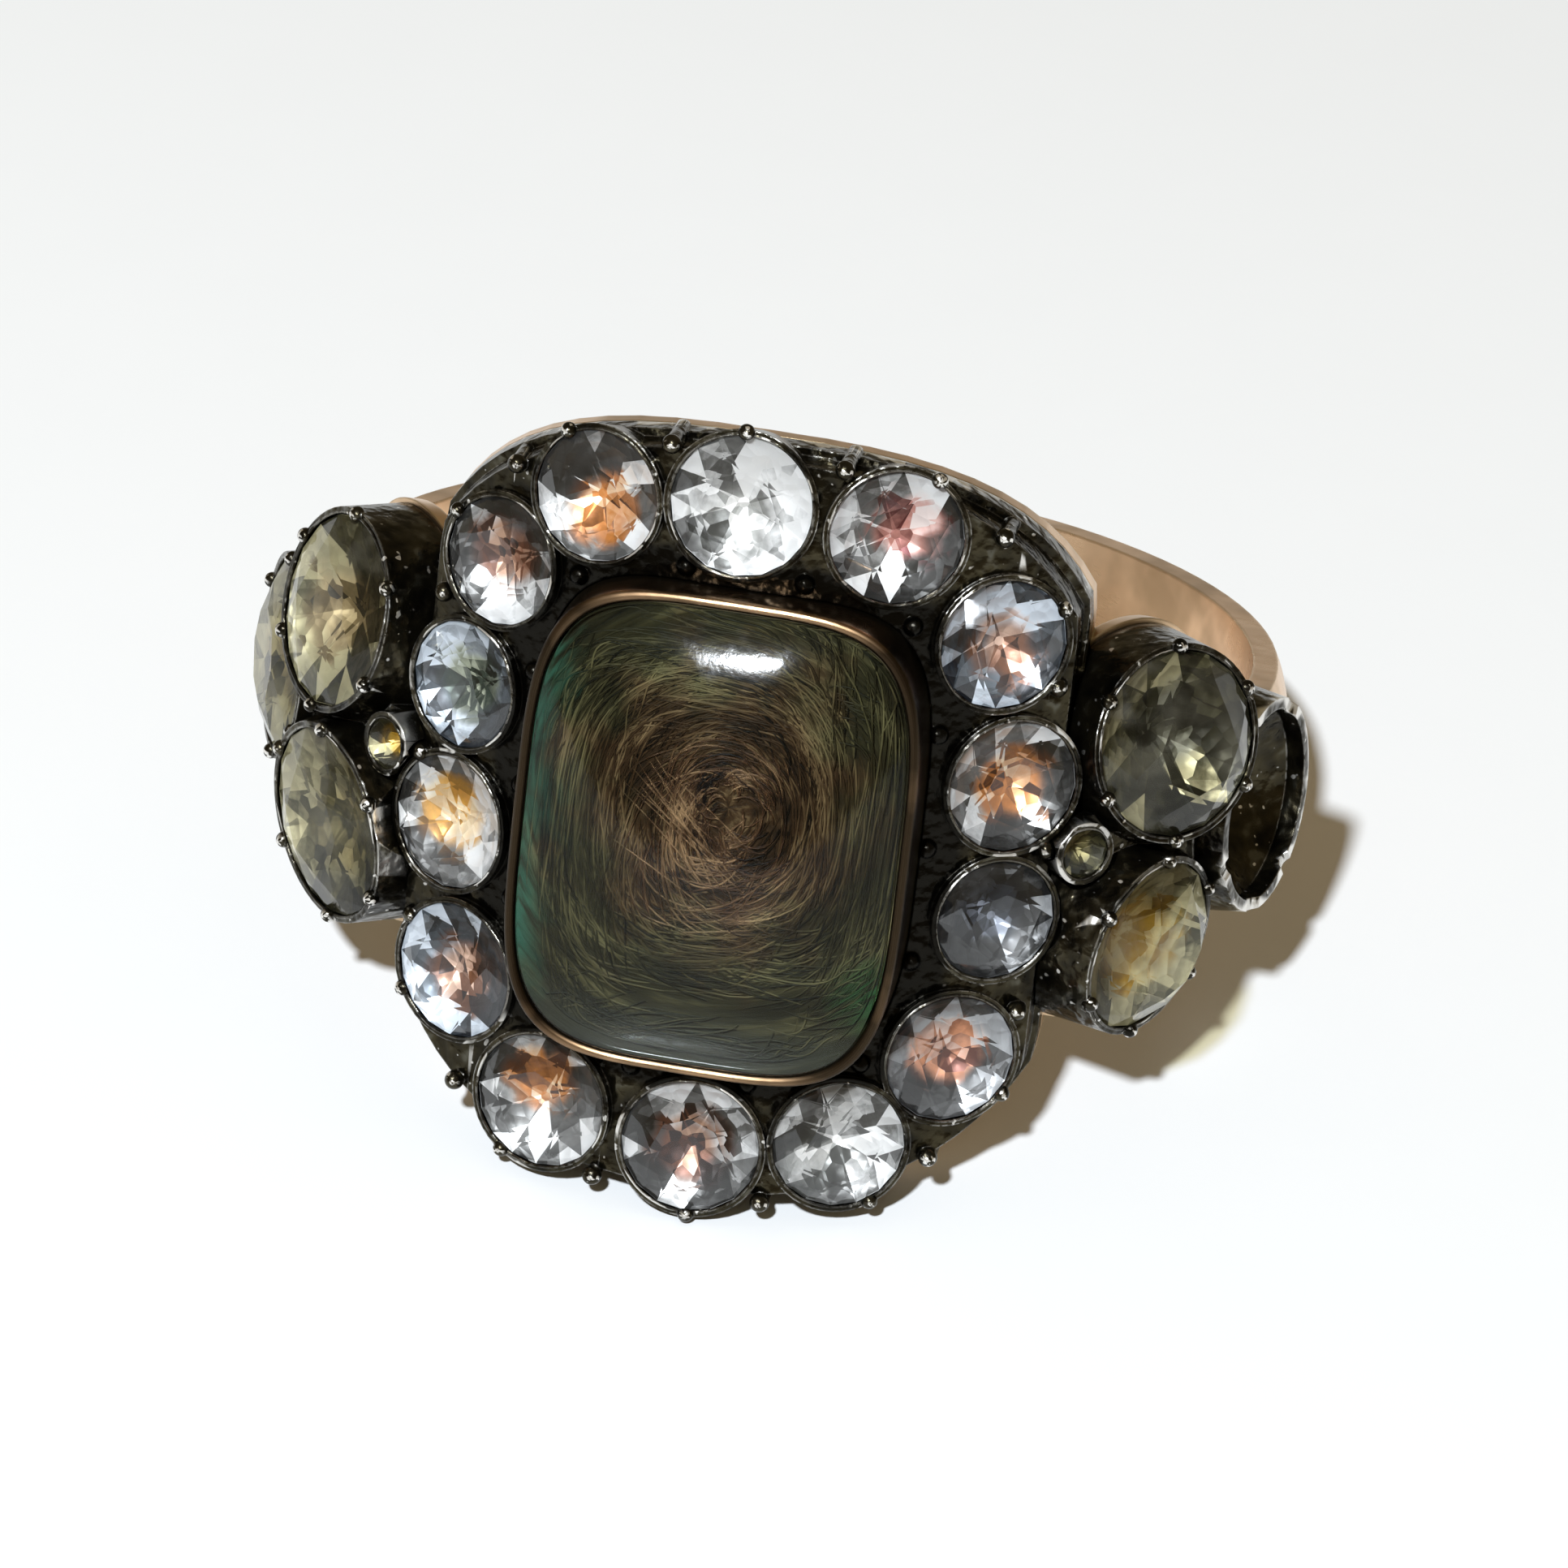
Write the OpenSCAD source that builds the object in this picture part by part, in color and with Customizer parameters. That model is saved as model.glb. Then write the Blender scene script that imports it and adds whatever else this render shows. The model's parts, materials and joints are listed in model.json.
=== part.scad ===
// A mourning ring lying on its side: a gold band and back plates, a halo of cut stones in silver
// round a domed crystal over hair, and a trefoil of larger stones on each shoulder.
// Lengths are millimetres. Each piece is drawn upright, with the finger along Z and the head
// towards -Y, and is then laid down on the floor at Z = 0.

/* [Band] */
// Inside diameter of the finger hole
finger_d = 18; // [15:0.1:21]
// Width of the band along the finger
band_w = 2.7; // [1.8:0.02:3]
// Thickness of the band at its two edges
band_edge_t = 0.5; // [0.4:0.05:0.8]
// Rise of the band's rounded back above its edges
band_crown = 0.35; // [0.15:0.05:0.5]
// Thickness of the gold plates behind the settings
plate_t = 0.35; // [0.25:0.05:0.5]

/* [Head] */
// Width of the head's oval back, measured round its curve, as if its sides weren't cut straight
head_w = 16.1; // [15.6:0.1:16.6]
// Distance between the straight sides of the head's back, measured round its curve
head_side = 13.8; // [13.4:0.1:14.6]
// Height of the head's back outline along the finger
head_h = 15; // [14.8:0.1:16]
// Squareness of the head's oval, where 2 is an even oval
head_square = 2.4; // [2.2:0.1:3]
// Thickness of the silver from the gold plate to its face
head_t = 1.12; // [0.95:0.01:1.4]
// Thickness of the plain foot that runs round the head
foot_t = 0.42; // [0.3:0.02:0.6]
// How far the fluted wall stands in from the foot
flute_inset = 0.16; // [0.1:0.02:0.3]
// How far the ridges stand out from the row of stones
ridge_out = 1; // [0.9:0.05:1.1]

/* [Halo stones] */
// Distance between the middles of opposite side stones, measured round the curve
halo_w = 11.3; // [11:0.1:11.8]
// Distance between the middles of the top and bottom stones
halo_h = 12.84; // [12.6:0.02:13.4]
// Squareness of the row of stones, where 2 is an oval
halo_square = 3; // [2.6:0.1:3.4]
// Diameter of a usual halo stone
halo_d = 2.62; // [2.3:0.02:2.7]
// Height of a halo stone above its widest part
halo_crown = 0.4; // [0.25:0.01:0.55]
// Depth of a halo stone below its widest part
halo_depth = 0.62; // [0.4:0.02:0.7]
// Silver round each halo stone, at its rim
halo_wall = 0.12; // [0.08:0.01:0.16]
// How much a halo stone's silver narrows from its rim to its foot
collet_taper = 0.38; // [0.2:0.02:0.4]
// Rise of each halo stone's silver above the face
halo_rise = 0.15; // [0.05:0.01:0.3]
// Outward lean of the top and bottom stones, in degrees
halo_lean = 2; // [0:1:10]

/* [Hair compartment] */
// Width of the gold collar
collar_w = 7.6; // [7:0.1:7.8]
// Height of the gold collar along the finger
collar_h = 9.5; // [8.8:0.1:9.7]
// Squareness of the collar and the crystal, where 2 is an oval
collar_square = 4; // [3:0.1:5]
// Thickness of the collar's wall
collar_wall = 0.2; // [0.16:0.02:0.34]
// Height of the collar above the silver face
collar_stand = 0.8; // [0.6:0.05:1.1]
// Height of the crystal above the collar
crystal_dome = 1.1; // [0.7:0.05:1.5]
// Depth of the crystal's straight edge inside the collar
crystal_edge = 0.3; // [0.2:0.05:0.5]
// Thickness of the pad of hair at its edge
hair_t = 0.3; // [0.2:0.05:0.6]
// Rise of the pad of hair at its middle
hair_dome = 0.22; // [0.1:0.02:0.4]

/* [Shoulder stones] */
// Diameter of the upper and lower shoulder stones
pair_d = 3.56; // [3.2:0.02:3.7]
// Diameter of the outer shoulder stone
outer_d = 3.9; // [3.5:0.05:4.1]
// Diameter of the small shoulder stone beside the head
small_d = 1; // [0.8:0.05:1.1]
// Distance from the head's middle to the two stones of the pair, measured round the curve
pair_along = 9.4; // [9.3:0.05:10]
// Distance from the head's middle to the small stone, measured round the curve
small_along = 7.4; // [7.3:0.05:7.6]
// Gap between the rims of neighbouring cups
cup_gap = 0.14; // [0.1:0.02:0.5]
// Thickness of a shoulder cup's wall at its rim
cup_wall = 0.13; // [0.1:0.01:0.2]
// Height of the shoulder cups above the gold plate
cup_t = 1.62; // [1.45:0.01:1.9]
// How far the rims of the outer cups lie below those of the pair
outer_drop = 0.25; // [0.1:0.05:0.35]
// Spread of a shoulder cup's wall from its rim to its foot
cup_spread = 0.3; // [0.1:0.02:0.4]
// Height of a large shoulder stone above its widest part
cup_crown = 0.78; // [0.5:0.02:1]
// Depth of a large shoulder stone below its widest part
cup_depth = 0.85; // [0.6:0.02:1]
// Thickness of the silver between the cups
web_t = 1.25; // [0.9:0.05:1.4]
// Depth of the empty cup
empty_depth = 1.15; // [0.9:0.05:1.2]

/* [Grains and gaps] */
// Radius of a grain between two halo stones, on the outer edge
grain_r = 0.19; // [0.12:0.01:0.22]
// Radius of the ridge under a grain, down the fluted wall
ridge_r = 0.15; // [0.1:0.01:0.2]
// Radius of the claw on the outer side of each stone
claw_r = 0.16; // [0.1:0.01:0.2]
// Radius of a grain between two halo stones, beside the collar
inner_grain_r = 0.13; // [0.08:0.01:0.16]
// Gap between a stone and the silver round it
stone_gap = 0.03; // [0.02:0.01:0.05]
// Gap between pieces that are joined face to face
joint_gap = 0.03; // [0.02:0.01:0.06]

/* [Hidden] */
$fn = 64;

// Radii from the finger's axis outwards
finger_r = finger_d / 2;
plate_r = finger_r + plate_t;
silver_r = plate_r + joint_gap;
foot_r = silver_r + foot_t;
face_r = silver_r + head_t;
halo_rim_r = face_r + halo_rise;
web_r = silver_r + web_t;
cup_rim_r = silver_r + cup_t;
collar_r = face_r + collar_stand;

// The band's rounded back is an arc through its two edges
crown_leg = (pow(band_w / 2, 2) - pow(band_crown, 2)) / (2 * band_crown);
crown_arc_r = crown_leg + band_crown;
crown_centre_r = finger_r + band_edge_t - crown_leg;

// The widest part of a stone is a thin straight girdle just under the rim that holds it
girdle_t = 0.08;
girdle_drop = 0.04;
// Widths of a stone's table and its small flat culet, as shares of its diameter
halo_table = 0.54;
cup_table = 0.5;
culet_share = 0.08;
// How far out the points between the upper and lower facets lie, as shares of a stone's radius
star_share = 0.76;
lower_share = 0.5;
// Distance of the inner grains from the collar
inner_grain_off = 0.3;
// Height and depth of the small shoulder stones
small_crown = 0.22;
small_depth = 0.35;
// How flat a domed face is at its middle, where 2 is even all over
crystal_flatness = 2.6;
hair_flatness = 2;
// Steps round a curved outline
outline_steps = 72;
button_steps = 56;
button_rings = 8;
rim_steps = 6;
// Length that carries a cut right through what it cuts
through = 3;

// Each halo stone, clockwise from the top middle: how far it is out of its even place, as a share
// of the spacing, and its diameter, as a share of the usual one
SHIFT = 0;
SIZE = 1;
halo = [
    [-0.07, 1.04],
    [-0.04, 0.98],
    [0.05, 0.97],
    [0.05, 1.00],
    [-0.02, 0.92],
    [-0.02, 0.99],
    [-0.06, 0.98],
    [-0.07, 1.03],
    [0.00, 1.03],
    [0.08, 1.03],
    [0.10, 1.01],
    [0.06, 0.95],
    [0.00, 0.95],
    [-0.06, 0.97],
];
halo_count = len(halo);

// The three large cups of each shoulder, set by hand: how far each is out of its even place round
// the curve and along the finger, as shares of the pair's diameter, its lean along the finger and
// its twist round it in degrees, and its stone's diameter and height above its widest part, as
// shares of the usual ones
ALONG = 0;
UP = 1;
LEAN = 2;
TWIST = 3;
SCALE = 4;
CROWN = 5;
cups = [
    // Left side: upper, lower, outer
    [
        [0.03, 0.02, 9, 0, 1.06, 0.5],
        [-0.09, -0.06, -8, 0, 1.07, 0.5],
        [-0.03, -0.01, 1, 0, 1, 0.55],
    ],
    // Right side: upper, lower, outer
    [
        [-0.03, 0.02, 10, -6, 1.02, 1],
        [-0.04, -0.03, -6, 11, 0.98, 0.85],
        [-0.04, 0.02, 3, 6, 1.03, 1],
    ],
];

// Nicks in the empty cup's torn rim: the angle round the rim in degrees, and the width and depth
// as shares of the cup's radius
ANGLE = 0;
WIDE = 1;
DEEP = 2;
nicks = [
    [62, 0.20, 0.07],
    [118, 0.13, 0.05],
    [205, 0.16, 0.04],
    [262, 0.24, 0.06],
    [310, 0.12, 0.05],
];

// The rest pose: the ring lies on the head's lower back edge and the band's lower back edge
rest_tilt = atan((head_h - band_w) / 2 / (2 * finger_r + band_edge_t));
rest_up = head_h / 2 * cos(rest_tilt) - finger_r * sin(rest_tilt);
front_reach = halo_rim_r * cos(rest_tilt) + (head_h / 2 + grain_r / 2) * sin(rest_tilt);
back_reach = crown_centre_r * cos(rest_tilt) + crown_arc_r;
rest_y = (front_reach - back_reach) / 2;

// Curves

// A closed curve between an oval and a rectangle, clockwise from its top
function cushion(half_w, half_h, square, steps) = [
    for (i = [0:steps - 1]) let (a = 90 - 360 * i / steps, c = cos(a), s = sin(a))
        [half_w * sign(c) * pow(abs(c), 2 / square), half_h * sign(s) * pow(abs(s), 2 / square)]
];

// Distances along a closed curve, up to its first point again
function lengths(curve) = [
    for (i = 0, sum = 0; i <= len(curve);
         sum = sum + norm(curve[(i + 1) % len(curve)] - curve[i % len(curve)]), i = i + 1) sum
];

// The point at a share of the way round a closed curve
function point_at(curve, sums, share) =
    let (
        n = len(curve),
        d = (share - floor(share)) * sums[n],
        xs = [for (i = [0:n]) [sums[i], curve[i % n][0]]],
        ys = [for (i = [0:n]) [sums[i], curve[i % n][1]]]
    ) [lookup(d, xs), lookup(d, ys)];

// Angle round the finger of a length measured along a circle
function turn(along, r) = along / r * 180 / PI;

// A curve measured along a circle, seen from the front
function unrolled(curve, r) = [for (p = curve) [r * sin(turn(p[0], r)), p[1]]];

// The head's outline: an oval whose sides are cut straight
function head_curve(inset) = [
    for (p = cushion(head_w / 2 - inset, head_h / 2 - inset, head_square, outline_steps))
        [max(inset - head_side / 2, min(head_side / 2 - inset, p[0])), p[1]]
];

head_outline = unrolled(head_curve(0), plate_r);
flute_outline = unrolled(head_curve(flute_inset), plate_r);
ridge_curve = unrolled(cushion(halo_w / 2 + ridge_out, halo_h / 2 + ridge_out, halo_square,
                               outline_steps), plate_r);
ridge_sums = lengths(ridge_curve);
halo_curve = cushion(halo_w / 2, halo_h / 2, halo_square, outline_steps * 3);
halo_sums = lengths(halo_curve);
inner_curve = cushion(collar_w / 2 + inner_grain_off, collar_h / 2 + inner_grain_off,
                      collar_square, outline_steps);
inner_sums = lengths(inner_curve);

function halo_spot(i) = point_at(halo_curve, halo_sums, (i + halo[i][SHIFT]) / halo_count);
function halo_r(i) = halo_d * halo[i][SIZE] / 2;
function lean_at(z) = halo_lean * z / (halo_h / 2);
function ridge_spot(i) = point_at(ridge_curve, ridge_sums, (i + 0.5) / halo_count);
function beside_shoulder(spot) = abs(spot[1]) < 2 * cup_rim(pair_d);
// The direction from a halo stone's middle straight out to the edge
function outward(i) = let (p = halo_spot(i)) atan2(p[1] / pow(halo_h, 2), p[0] / pow(halo_w, 2));

// Shoulder cups

function cup_d(side, k) = (k == 2 ? outer_d : pair_d) * cups_of(side)[k][SCALE];
function crown_of(side, k) = cup_crown * cups_of(side)[k][CROWN];
function rim_r(k) = cup_rim_r - (k == 2 ? outer_drop : 0);
function cup_rim(d) = d / 2 + cup_wall;
function cup_foot_r(d) = cup_rim(d) + cup_spread;
function cups_of(side) = cups[side < 0 ? 0 : 1];
function cup_turn(side, k) =
    side * turn((k == 2 ? outer_along : pair_along) + pair_d * cups_of(side)[k][ALONG], cup_rim_r);
function cup_up(side, k) = [pair_up, -pair_up, 0][k] + pair_d * cups_of(side)[k][UP];
pair_up = cup_rim(pair_d) + cup_gap / 2;
outer_along = pair_along
    + sqrt(pow(cup_rim(pair_d) + cup_rim(outer_d) + cup_gap, 2) - pow(pair_up, 2));
outer_turn = turn(outer_along, cup_rim_r);
small_turn = turn(small_along, cup_rim_r);

// Places

// Children stand on the circle of radius r, with their Z outwards
module on_circle(turned, z, r, lean = 0, twist = 0) {
    rotate([0, 0, turned]) translate([0, -r, z]) rotate([90, 0, 0]) rotate([0, twist, 0])
        rotate([-lean, 0, 0]) children();
}

module on_halo(i) {
    spot = halo_spot(i);
    on_circle(turn(spot[0], halo_rim_r), spot[1], halo_rim_r, lean_at(spot[1])) children();
}

// Children stand in the rim of large cup k of a shoulder
module on_cup(side, k) {
    c = cups_of(side)[k];
    on_circle(cup_turn(side, k), cup_up(side, k), rim_r(k), c[LEAN], side * c[TWIST]) children();
}

// Lays the upright ring down
module lying() {
    translate([0, rest_y, rest_up]) rotate([-rest_tilt, 0, 0]) children();
}

// Everything between two circles round the finger
module shell(inner_r, outer_r, h) {
    difference() {
        cylinder(r = outer_r, h = h, center = true, $fn = 128);
        cylinder(r = inner_r, h = h + through, center = true, $fn = 128);
    }
}

// A column with an outline seen from the front, from the finger's axis forwards
module column(outline, reach) {
    rotate([90, 0, 0]) linear_extrude(reach) polygon(outline);
}

module finger_core(r) {
    cylinder(r = r, h = 2 * head_h, center = true, $fn = 128);
}

// Cut stones

// A round stone with its rim plane at Z = 0: an eight-sided table, star, kite and girdle facets
// above, and kite and girdle facets below
module cut_stone(r, table_share, crown, depth) {
    table_r = r * table_share;
    star_r = r * star_share;
    lower_r = r * lower_share;
    culet_r = r * culet_share;
    top = -girdle_drop;
    bottom = top - girdle_t;
    table_z = top + crown;
    culet_z = bottom - depth;
    // The kites are flat, which sets the height of the points between them
    star_z = table_z - (star_r * cos(22.5) - table_r) * crown / (r - table_r);
    lower_z = bottom - (r - lower_r * cos(22.5)) * depth / (r - culet_r);
    function ring(n, radius, from, z) =
        [for (i = [0:n - 1]) let (a = from + 360 * i / n) [radius * cos(a), radius * sin(a), z]];
    points = concat(
        ring(8, table_r, 0, table_z), ring(8, star_r, 22.5, star_z), ring(16, r, 0, top),
        ring(16, r, 0, bottom), ring(8, lower_r, 22.5, lower_z), ring(8, culet_r, 0, culet_z)
    );
    // Where each ring of points starts in the list
    table = 0;
    star = 8;
    upper = 16;
    under = 32;
    lower = 48;
    culet = 56;
    faces = concat(
        [[for (i = [7:-1:0]) table + i]],
        [for (i = [0:7]) [table + i, table + (i + 1) % 8, star + i]],
        [for (i = [0:7]) [table + i, star + i, upper + 2 * i, star + (i + 7) % 8]],
        [for (i = [0:7]) [star + i, upper + 2 * i + 1, upper + 2 * i]],
        [for (i = [0:7]) [star + i, upper + (2 * i + 2) % 16, upper + 2 * i + 1]],
        [for (j = [0:15]) [upper + j, upper + (j + 1) % 16, under + (j + 1) % 16, under + j]],
        [for (i = [0:7]) [lower + i, under + 2 * i, under + 2 * i + 1]],
        [for (i = [0:7]) [lower + i, under + 2 * i + 1, under + (2 * i + 2) % 16]],
        [for (i = [0:7]) [culet + i, lower + (i + 7) % 8, under + 2 * i, lower + i]],
        [for (i = [0:7]) [culet + (i + 1) % 8, culet + i, lower + i]],
        [[for (i = [0:7]) culet + i]]
    );
    polyhedron(points, faces);
}

// The room that a stone takes in its setting
module seat(r, table_share, crown, depth) {
    top = -girdle_drop;
    bottom = top - girdle_t;
    rotate_extrude() polygon([
        [0, bottom - depth - stone_gap],
        [r * culet_share + stone_gap, bottom - depth - stone_gap],
        [r + stone_gap, bottom - stone_gap],
        [r + stone_gap, top + stone_gap],
        [r * table_share + stone_gap, top + crown + stone_gap],
        [0, top + crown + stone_gap],
    ]);
}

// Gold

// The band behind the shoulders, and one plate behind each setting, soldered together
module band() {
    color("rosybrown") lying() difference() {
        union() {
            difference() {
                rotate([0, 0, -90 + outer_turn])
                    rotate_extrude(angle = 360 - 2 * outer_turn, $fn = 128) band_section();
                // The outer cups stand in the band's two ends, down to the gold plates
                difference() {
                    for (side = [-1, 1]) on_cup(side, 2) cup_column(side, 2, joint_gap);
                    finger_core(plate_r - joint_gap);
                }
            }
            intersection() {
                finger_core(plate_r);
                union() {
                    column(head_outline, 2 * plate_r);
                    for (side = [-1, 1], k = [0:2]) on_cup(side, k) cup_column(side, k, 0);
                    for (side = [-1, 1]) web_block(side, finger_r / 2, 2 * plate_r, pair_up);
                }
            }
        }
        finger_core(finger_r);
    }
}

// The band's section starts inside the finger hole, which cuts it and the plates in one
module band_section() {
    intersection() {
        translate([finger_r - plate_t, -band_w / 2])
            square([plate_t + band_edge_t + 2 * band_crown, band_w]);
        translate([crown_centre_r, 0]) circle(r = crown_arc_r, $fn = 96);
    }
}

// The foot of a cup, carried inwards to the finger
module cup_column(side, k, grow) {
    mirror([0, 0, 1]) cylinder(r = cup_foot_r(cup_d(side, k)) + grow, h = cup_rim_r - finger_r / 2);
}

// A block of the ring between the small stone and the outer cup
module web_block(side, inner_r, outer_r, half) {
    rotate([0, 0, -90 + (side > 0 ? small_turn : -outer_turn)])
        rotate_extrude(angle = outer_turn - small_turn, $fn = 128)
            translate([inner_r, -half]) square([outer_r - inner_r, 2 * half]);
}

// Head

module head_setting() {
    color("dimgray") lying() difference() {
        union() {
            intersection() {
                shell(silver_r, foot_r, 2 * head_h);
                column(head_outline, 2 * foot_r);
            }
            intersection() {
                shell(silver_r, face_r, 2 * head_h);
                column(flute_outline, 2 * face_r);
            }
            for (i = [0:halo_count - 1]) {
                on_halo(i) collet(halo_r(i) + halo_wall);
                if (!beside_shoulder(halo_spot(i))) on_halo(i) rotate([0, 0, outward(i)])
                    translate([halo_r(i) + halo_wall / 2, 0, 0]) sphere(r = claw_r, $fn = 24);
                outer_grain(i);
                inner_grain(i);
            }
        }
        finger_core(silver_r);
        for (i = [0:halo_count - 1]) on_halo(i) seat(halo_r(i), halo_table, halo_crown, halo_depth);
        column(cushion(collar_w / 2 + joint_gap, collar_h / 2 + joint_gap, collar_square,
                       outline_steps), 2 * face_r);
    }
}

// The silver of one halo stone, reaching through the curved back, which is cut off later
module collet(r) {
    translate([0, 0, -head_t - halo_rise - foot_t])
        cylinder(r1 = r - collet_taper, r2 = r, h = head_t + halo_rise + foot_t);
}

// A grain on top of the ridge between stone i and the next
module outer_grain(i) {
    spot = ridge_spot(i);
    reach = sqrt(pow(halo_rim_r, 2) - pow(spot[0], 2));
    translate([spot[0], -finger_r / 2, spot[1]]) rotate([90, 0, 0]) {
        cylinder(r = ridge_r, h = reach - finger_r / 2, $fn = 32);
        translate([0, 0, reach - finger_r / 2]) sphere(r = grain_r, $fn = 24);
    }
}

// A small grain between stone i and the next, beside the collar
module inner_grain(i) {
    spot = point_at(inner_curve, inner_sums, (i + 0.5) / halo_count);
    on_circle(turn(spot[0], halo_rim_r), spot[1], face_r) sphere(r = inner_grain_r * 1.5, $fn = 20);
}

// Hair compartment

// A wall with a rounded rim, whose foot follows the curved gold plate
module hair_collar() {
    outer = cushion(collar_w / 2, collar_h / 2, collar_square, outline_steps);
    inner = cushion(collar_w / 2 - collar_wall, collar_h / 2 - collar_wall, collar_square,
                    outline_steps);
    n = outline_steps;
    rounding = collar_wall / 2;
    foot = function (p) [p[0], -sqrt(pow(silver_r, 2) - pow(p[0], 2)), p[1]];
    rim = function (i, k) let (a = 180 * k / rim_steps, across = (1 - cos(a)) / 2,
                               p = outer[i] + (inner[i] - outer[i]) * across)
        [p[0], -collar_r + rounding * (1 - sin(a)), p[1]];
    loops = rim_steps + 3;
    points = [for (i = [0:n - 1], k = [0:loops - 1])
        k == 0 ? foot(outer[i]) : k == loops - 1 ? foot(inner[i]) : rim(i, k - 1)];
    faces = [for (i = [0:n - 1], k = [0:loops - 1])
        let (j = (i + 1) % n, m = (k + 1) % loops, from = i * loops, to = j * loops)
            each [[from + k, from + m, to + m], [from + k, to + m, to + k]]];
    color("peru") lying() polyhedron(points, faces);
}

// A cushion-shaped button seen from the front, with a straight edge and a domed face that grows
// rounder towards its middle
module button(half_w, half_h, edge, dome, flatness) {
    n = button_steps;
    close = [for (k = [0:button_rings - 1]) cos(90 * k / button_rings)];
    outline = function (c)
        cushion(half_w * c, half_h * c, 2 + (collar_square - 2) * pow(c, 2), button_steps);
    points = concat(
        [for (p = outline(1)) [p[0], p[1], 0]],
        [for (c = close) for (p = outline(c)) [p[0], p[1], edge + dome * (1 - pow(c, flatness))]],
        [[0, 0, edge + dome]]
    );
    faces = concat(
        [[for (i = [0:n - 1]) n - 1 - i]],
        [for (k = [0:button_rings - 1]) for (i = [0:n - 1])
            let (j = (i + 1) % n) [k * n + i, k * n + j, (k + 1) * n + j, (k + 1) * n + i]],
        [for (i = [0:n - 1]) [button_rings * n + i, button_rings * n + (i + 1) % n, len(points) - 1]]
    );
    rotate([90, 0, 0]) polyhedron(points, faces);
}

module hair_pad() {
    color("darkolivegreen") lying()
        translate([0, -collar_r + crystal_edge + joint_gap + hair_dome + hair_t, 0])
            button(collar_w / 2 - collar_wall - joint_gap, collar_h / 2 - collar_wall - joint_gap,
                   hair_t, hair_dome, hair_flatness);
}

module crystal() {
    color("lightcyan") lying() translate([0, -collar_r + crystal_edge, 0])
        button(collar_w / 2 - collar_wall - joint_gap, collar_h / 2 - collar_wall - joint_gap,
               crystal_edge, crystal_dome, crystal_flatness);
}

// Shoulders

module cup(d) {
    h = cup_t + foot_t;
    translate([0, 0, -h]) cylinder(r1 = cup_foot_r(d), r2 = cup_rim(d), h = h);
}

// Six claws round a rim
module claws(d, from) {
    for (k = [0:5]) rotate([0, 0, from + 60 * k]) translate([d / 2 + cup_wall / 2, 0, 0])
        sphere(r = claw_r, $fn = 24);
}

// What the head takes up beside a shoulder, with a gap round it
module head_room() {
    head_layer_room(foot_r, 0);
    head_layer_room(face_r, flute_inset);
    for (i = [0:halo_count - 1]) {
        if (beside_shoulder(halo_spot(i))) on_halo(i) translate([0, 0, -head_t]) cylinder(
            r = halo_r(i) + halo_wall + joint_gap, h = head_t + cup_t);
        if (beside_shoulder(ridge_spot(i)))
            translate([ridge_spot(i)[0], -finger_r / 2, ridge_spot(i)[1]]) rotate([90, 0, 0])
                cylinder(r = grain_r + joint_gap, h = cup_rim_r, $fn = 32);
    }
}

// The room of the head up to a radius, in from its back outline
module head_layer_room(outer_r, inset) {
    intersection() {
        shell(silver_r - joint_gap, outer_r + joint_gap, 2 * head_h);
        column(unrolled(head_curve(inset - joint_gap), plate_r), 2 * outer_r);
    }
}

// The silver of a shoulder, with seats for its first large stones and its small one
module shoulder_body(side, large) {
    difference() {
        union() {
            for (k = [0:2]) on_cup(side, k) cup(cup_d(side, k));
            for (k = [0:large - 1]) on_cup(side, k) claws(cup_d(side, k), 30);
            web_block(side, silver_r - foot_t, web_r, cup_rim(small_d));
            on_circle(side * small_turn, 0, finger_r)
                cylinder(r = cup_rim(small_d), h = cup_rim_r - finger_r);
        }
        finger_core(silver_r);
        head_room();
        for (k = [0:large - 1]) on_cup(side, k)
            seat(cup_d(side, k) / 2, cup_table, crown_of(side, k), cup_depth);
        on_circle(side * small_turn, 0, cup_rim_r)
            seat(small_d / 2, halo_table, small_crown, small_depth);
    }
}

module left_shoulder_setting() {
    color("dimgray") lying() shoulder_body(-1, 3);
}

// The outer stone is lost from this side: its cup is open, with a torn rim
module right_shoulder_setting() {
    color("dimgray") lying() difference() {
        shoulder_body(1, 2);
        on_cup(1, 2) empty_cup(cup_d(1, 2) / 2);
    }
}

// The room inside the empty cup, and the nicks in its rim
module empty_cup(r) {
    rotate_extrude() polygon([
        [0, -empty_depth],
        [r / 2, -empty_depth],
        [r * 0.95, -empty_depth / 3],
        [r, through],
        [0, through],
    ]);
    for (n = nicks) rotate([0, 0, n[ANGLE]]) translate([r, 0, r * (n[WIDE] - n[DEEP])])
        rotate([0, 90, 0]) cylinder(r = r * n[WIDE], h = through, center = true, $fn = 24);
}

// Stones

module halo_stone(i) {
    color("lavender") lying() on_halo(i) cut_stone(halo_r(i), halo_table, halo_crown, halo_depth);
}

module shoulder_stone(side, k) {
    color("darkkhaki") lying() on_cup(side, k)
        cut_stone(cup_d(side, k) / 2, cup_table, crown_of(side, k), cup_depth);
}

module small_stone(side) {
    color("olive") lying() on_circle(side * small_turn, 0, cup_rim_r)
        cut_stone(small_d / 2, halo_table, small_crown, small_depth);
}

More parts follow.
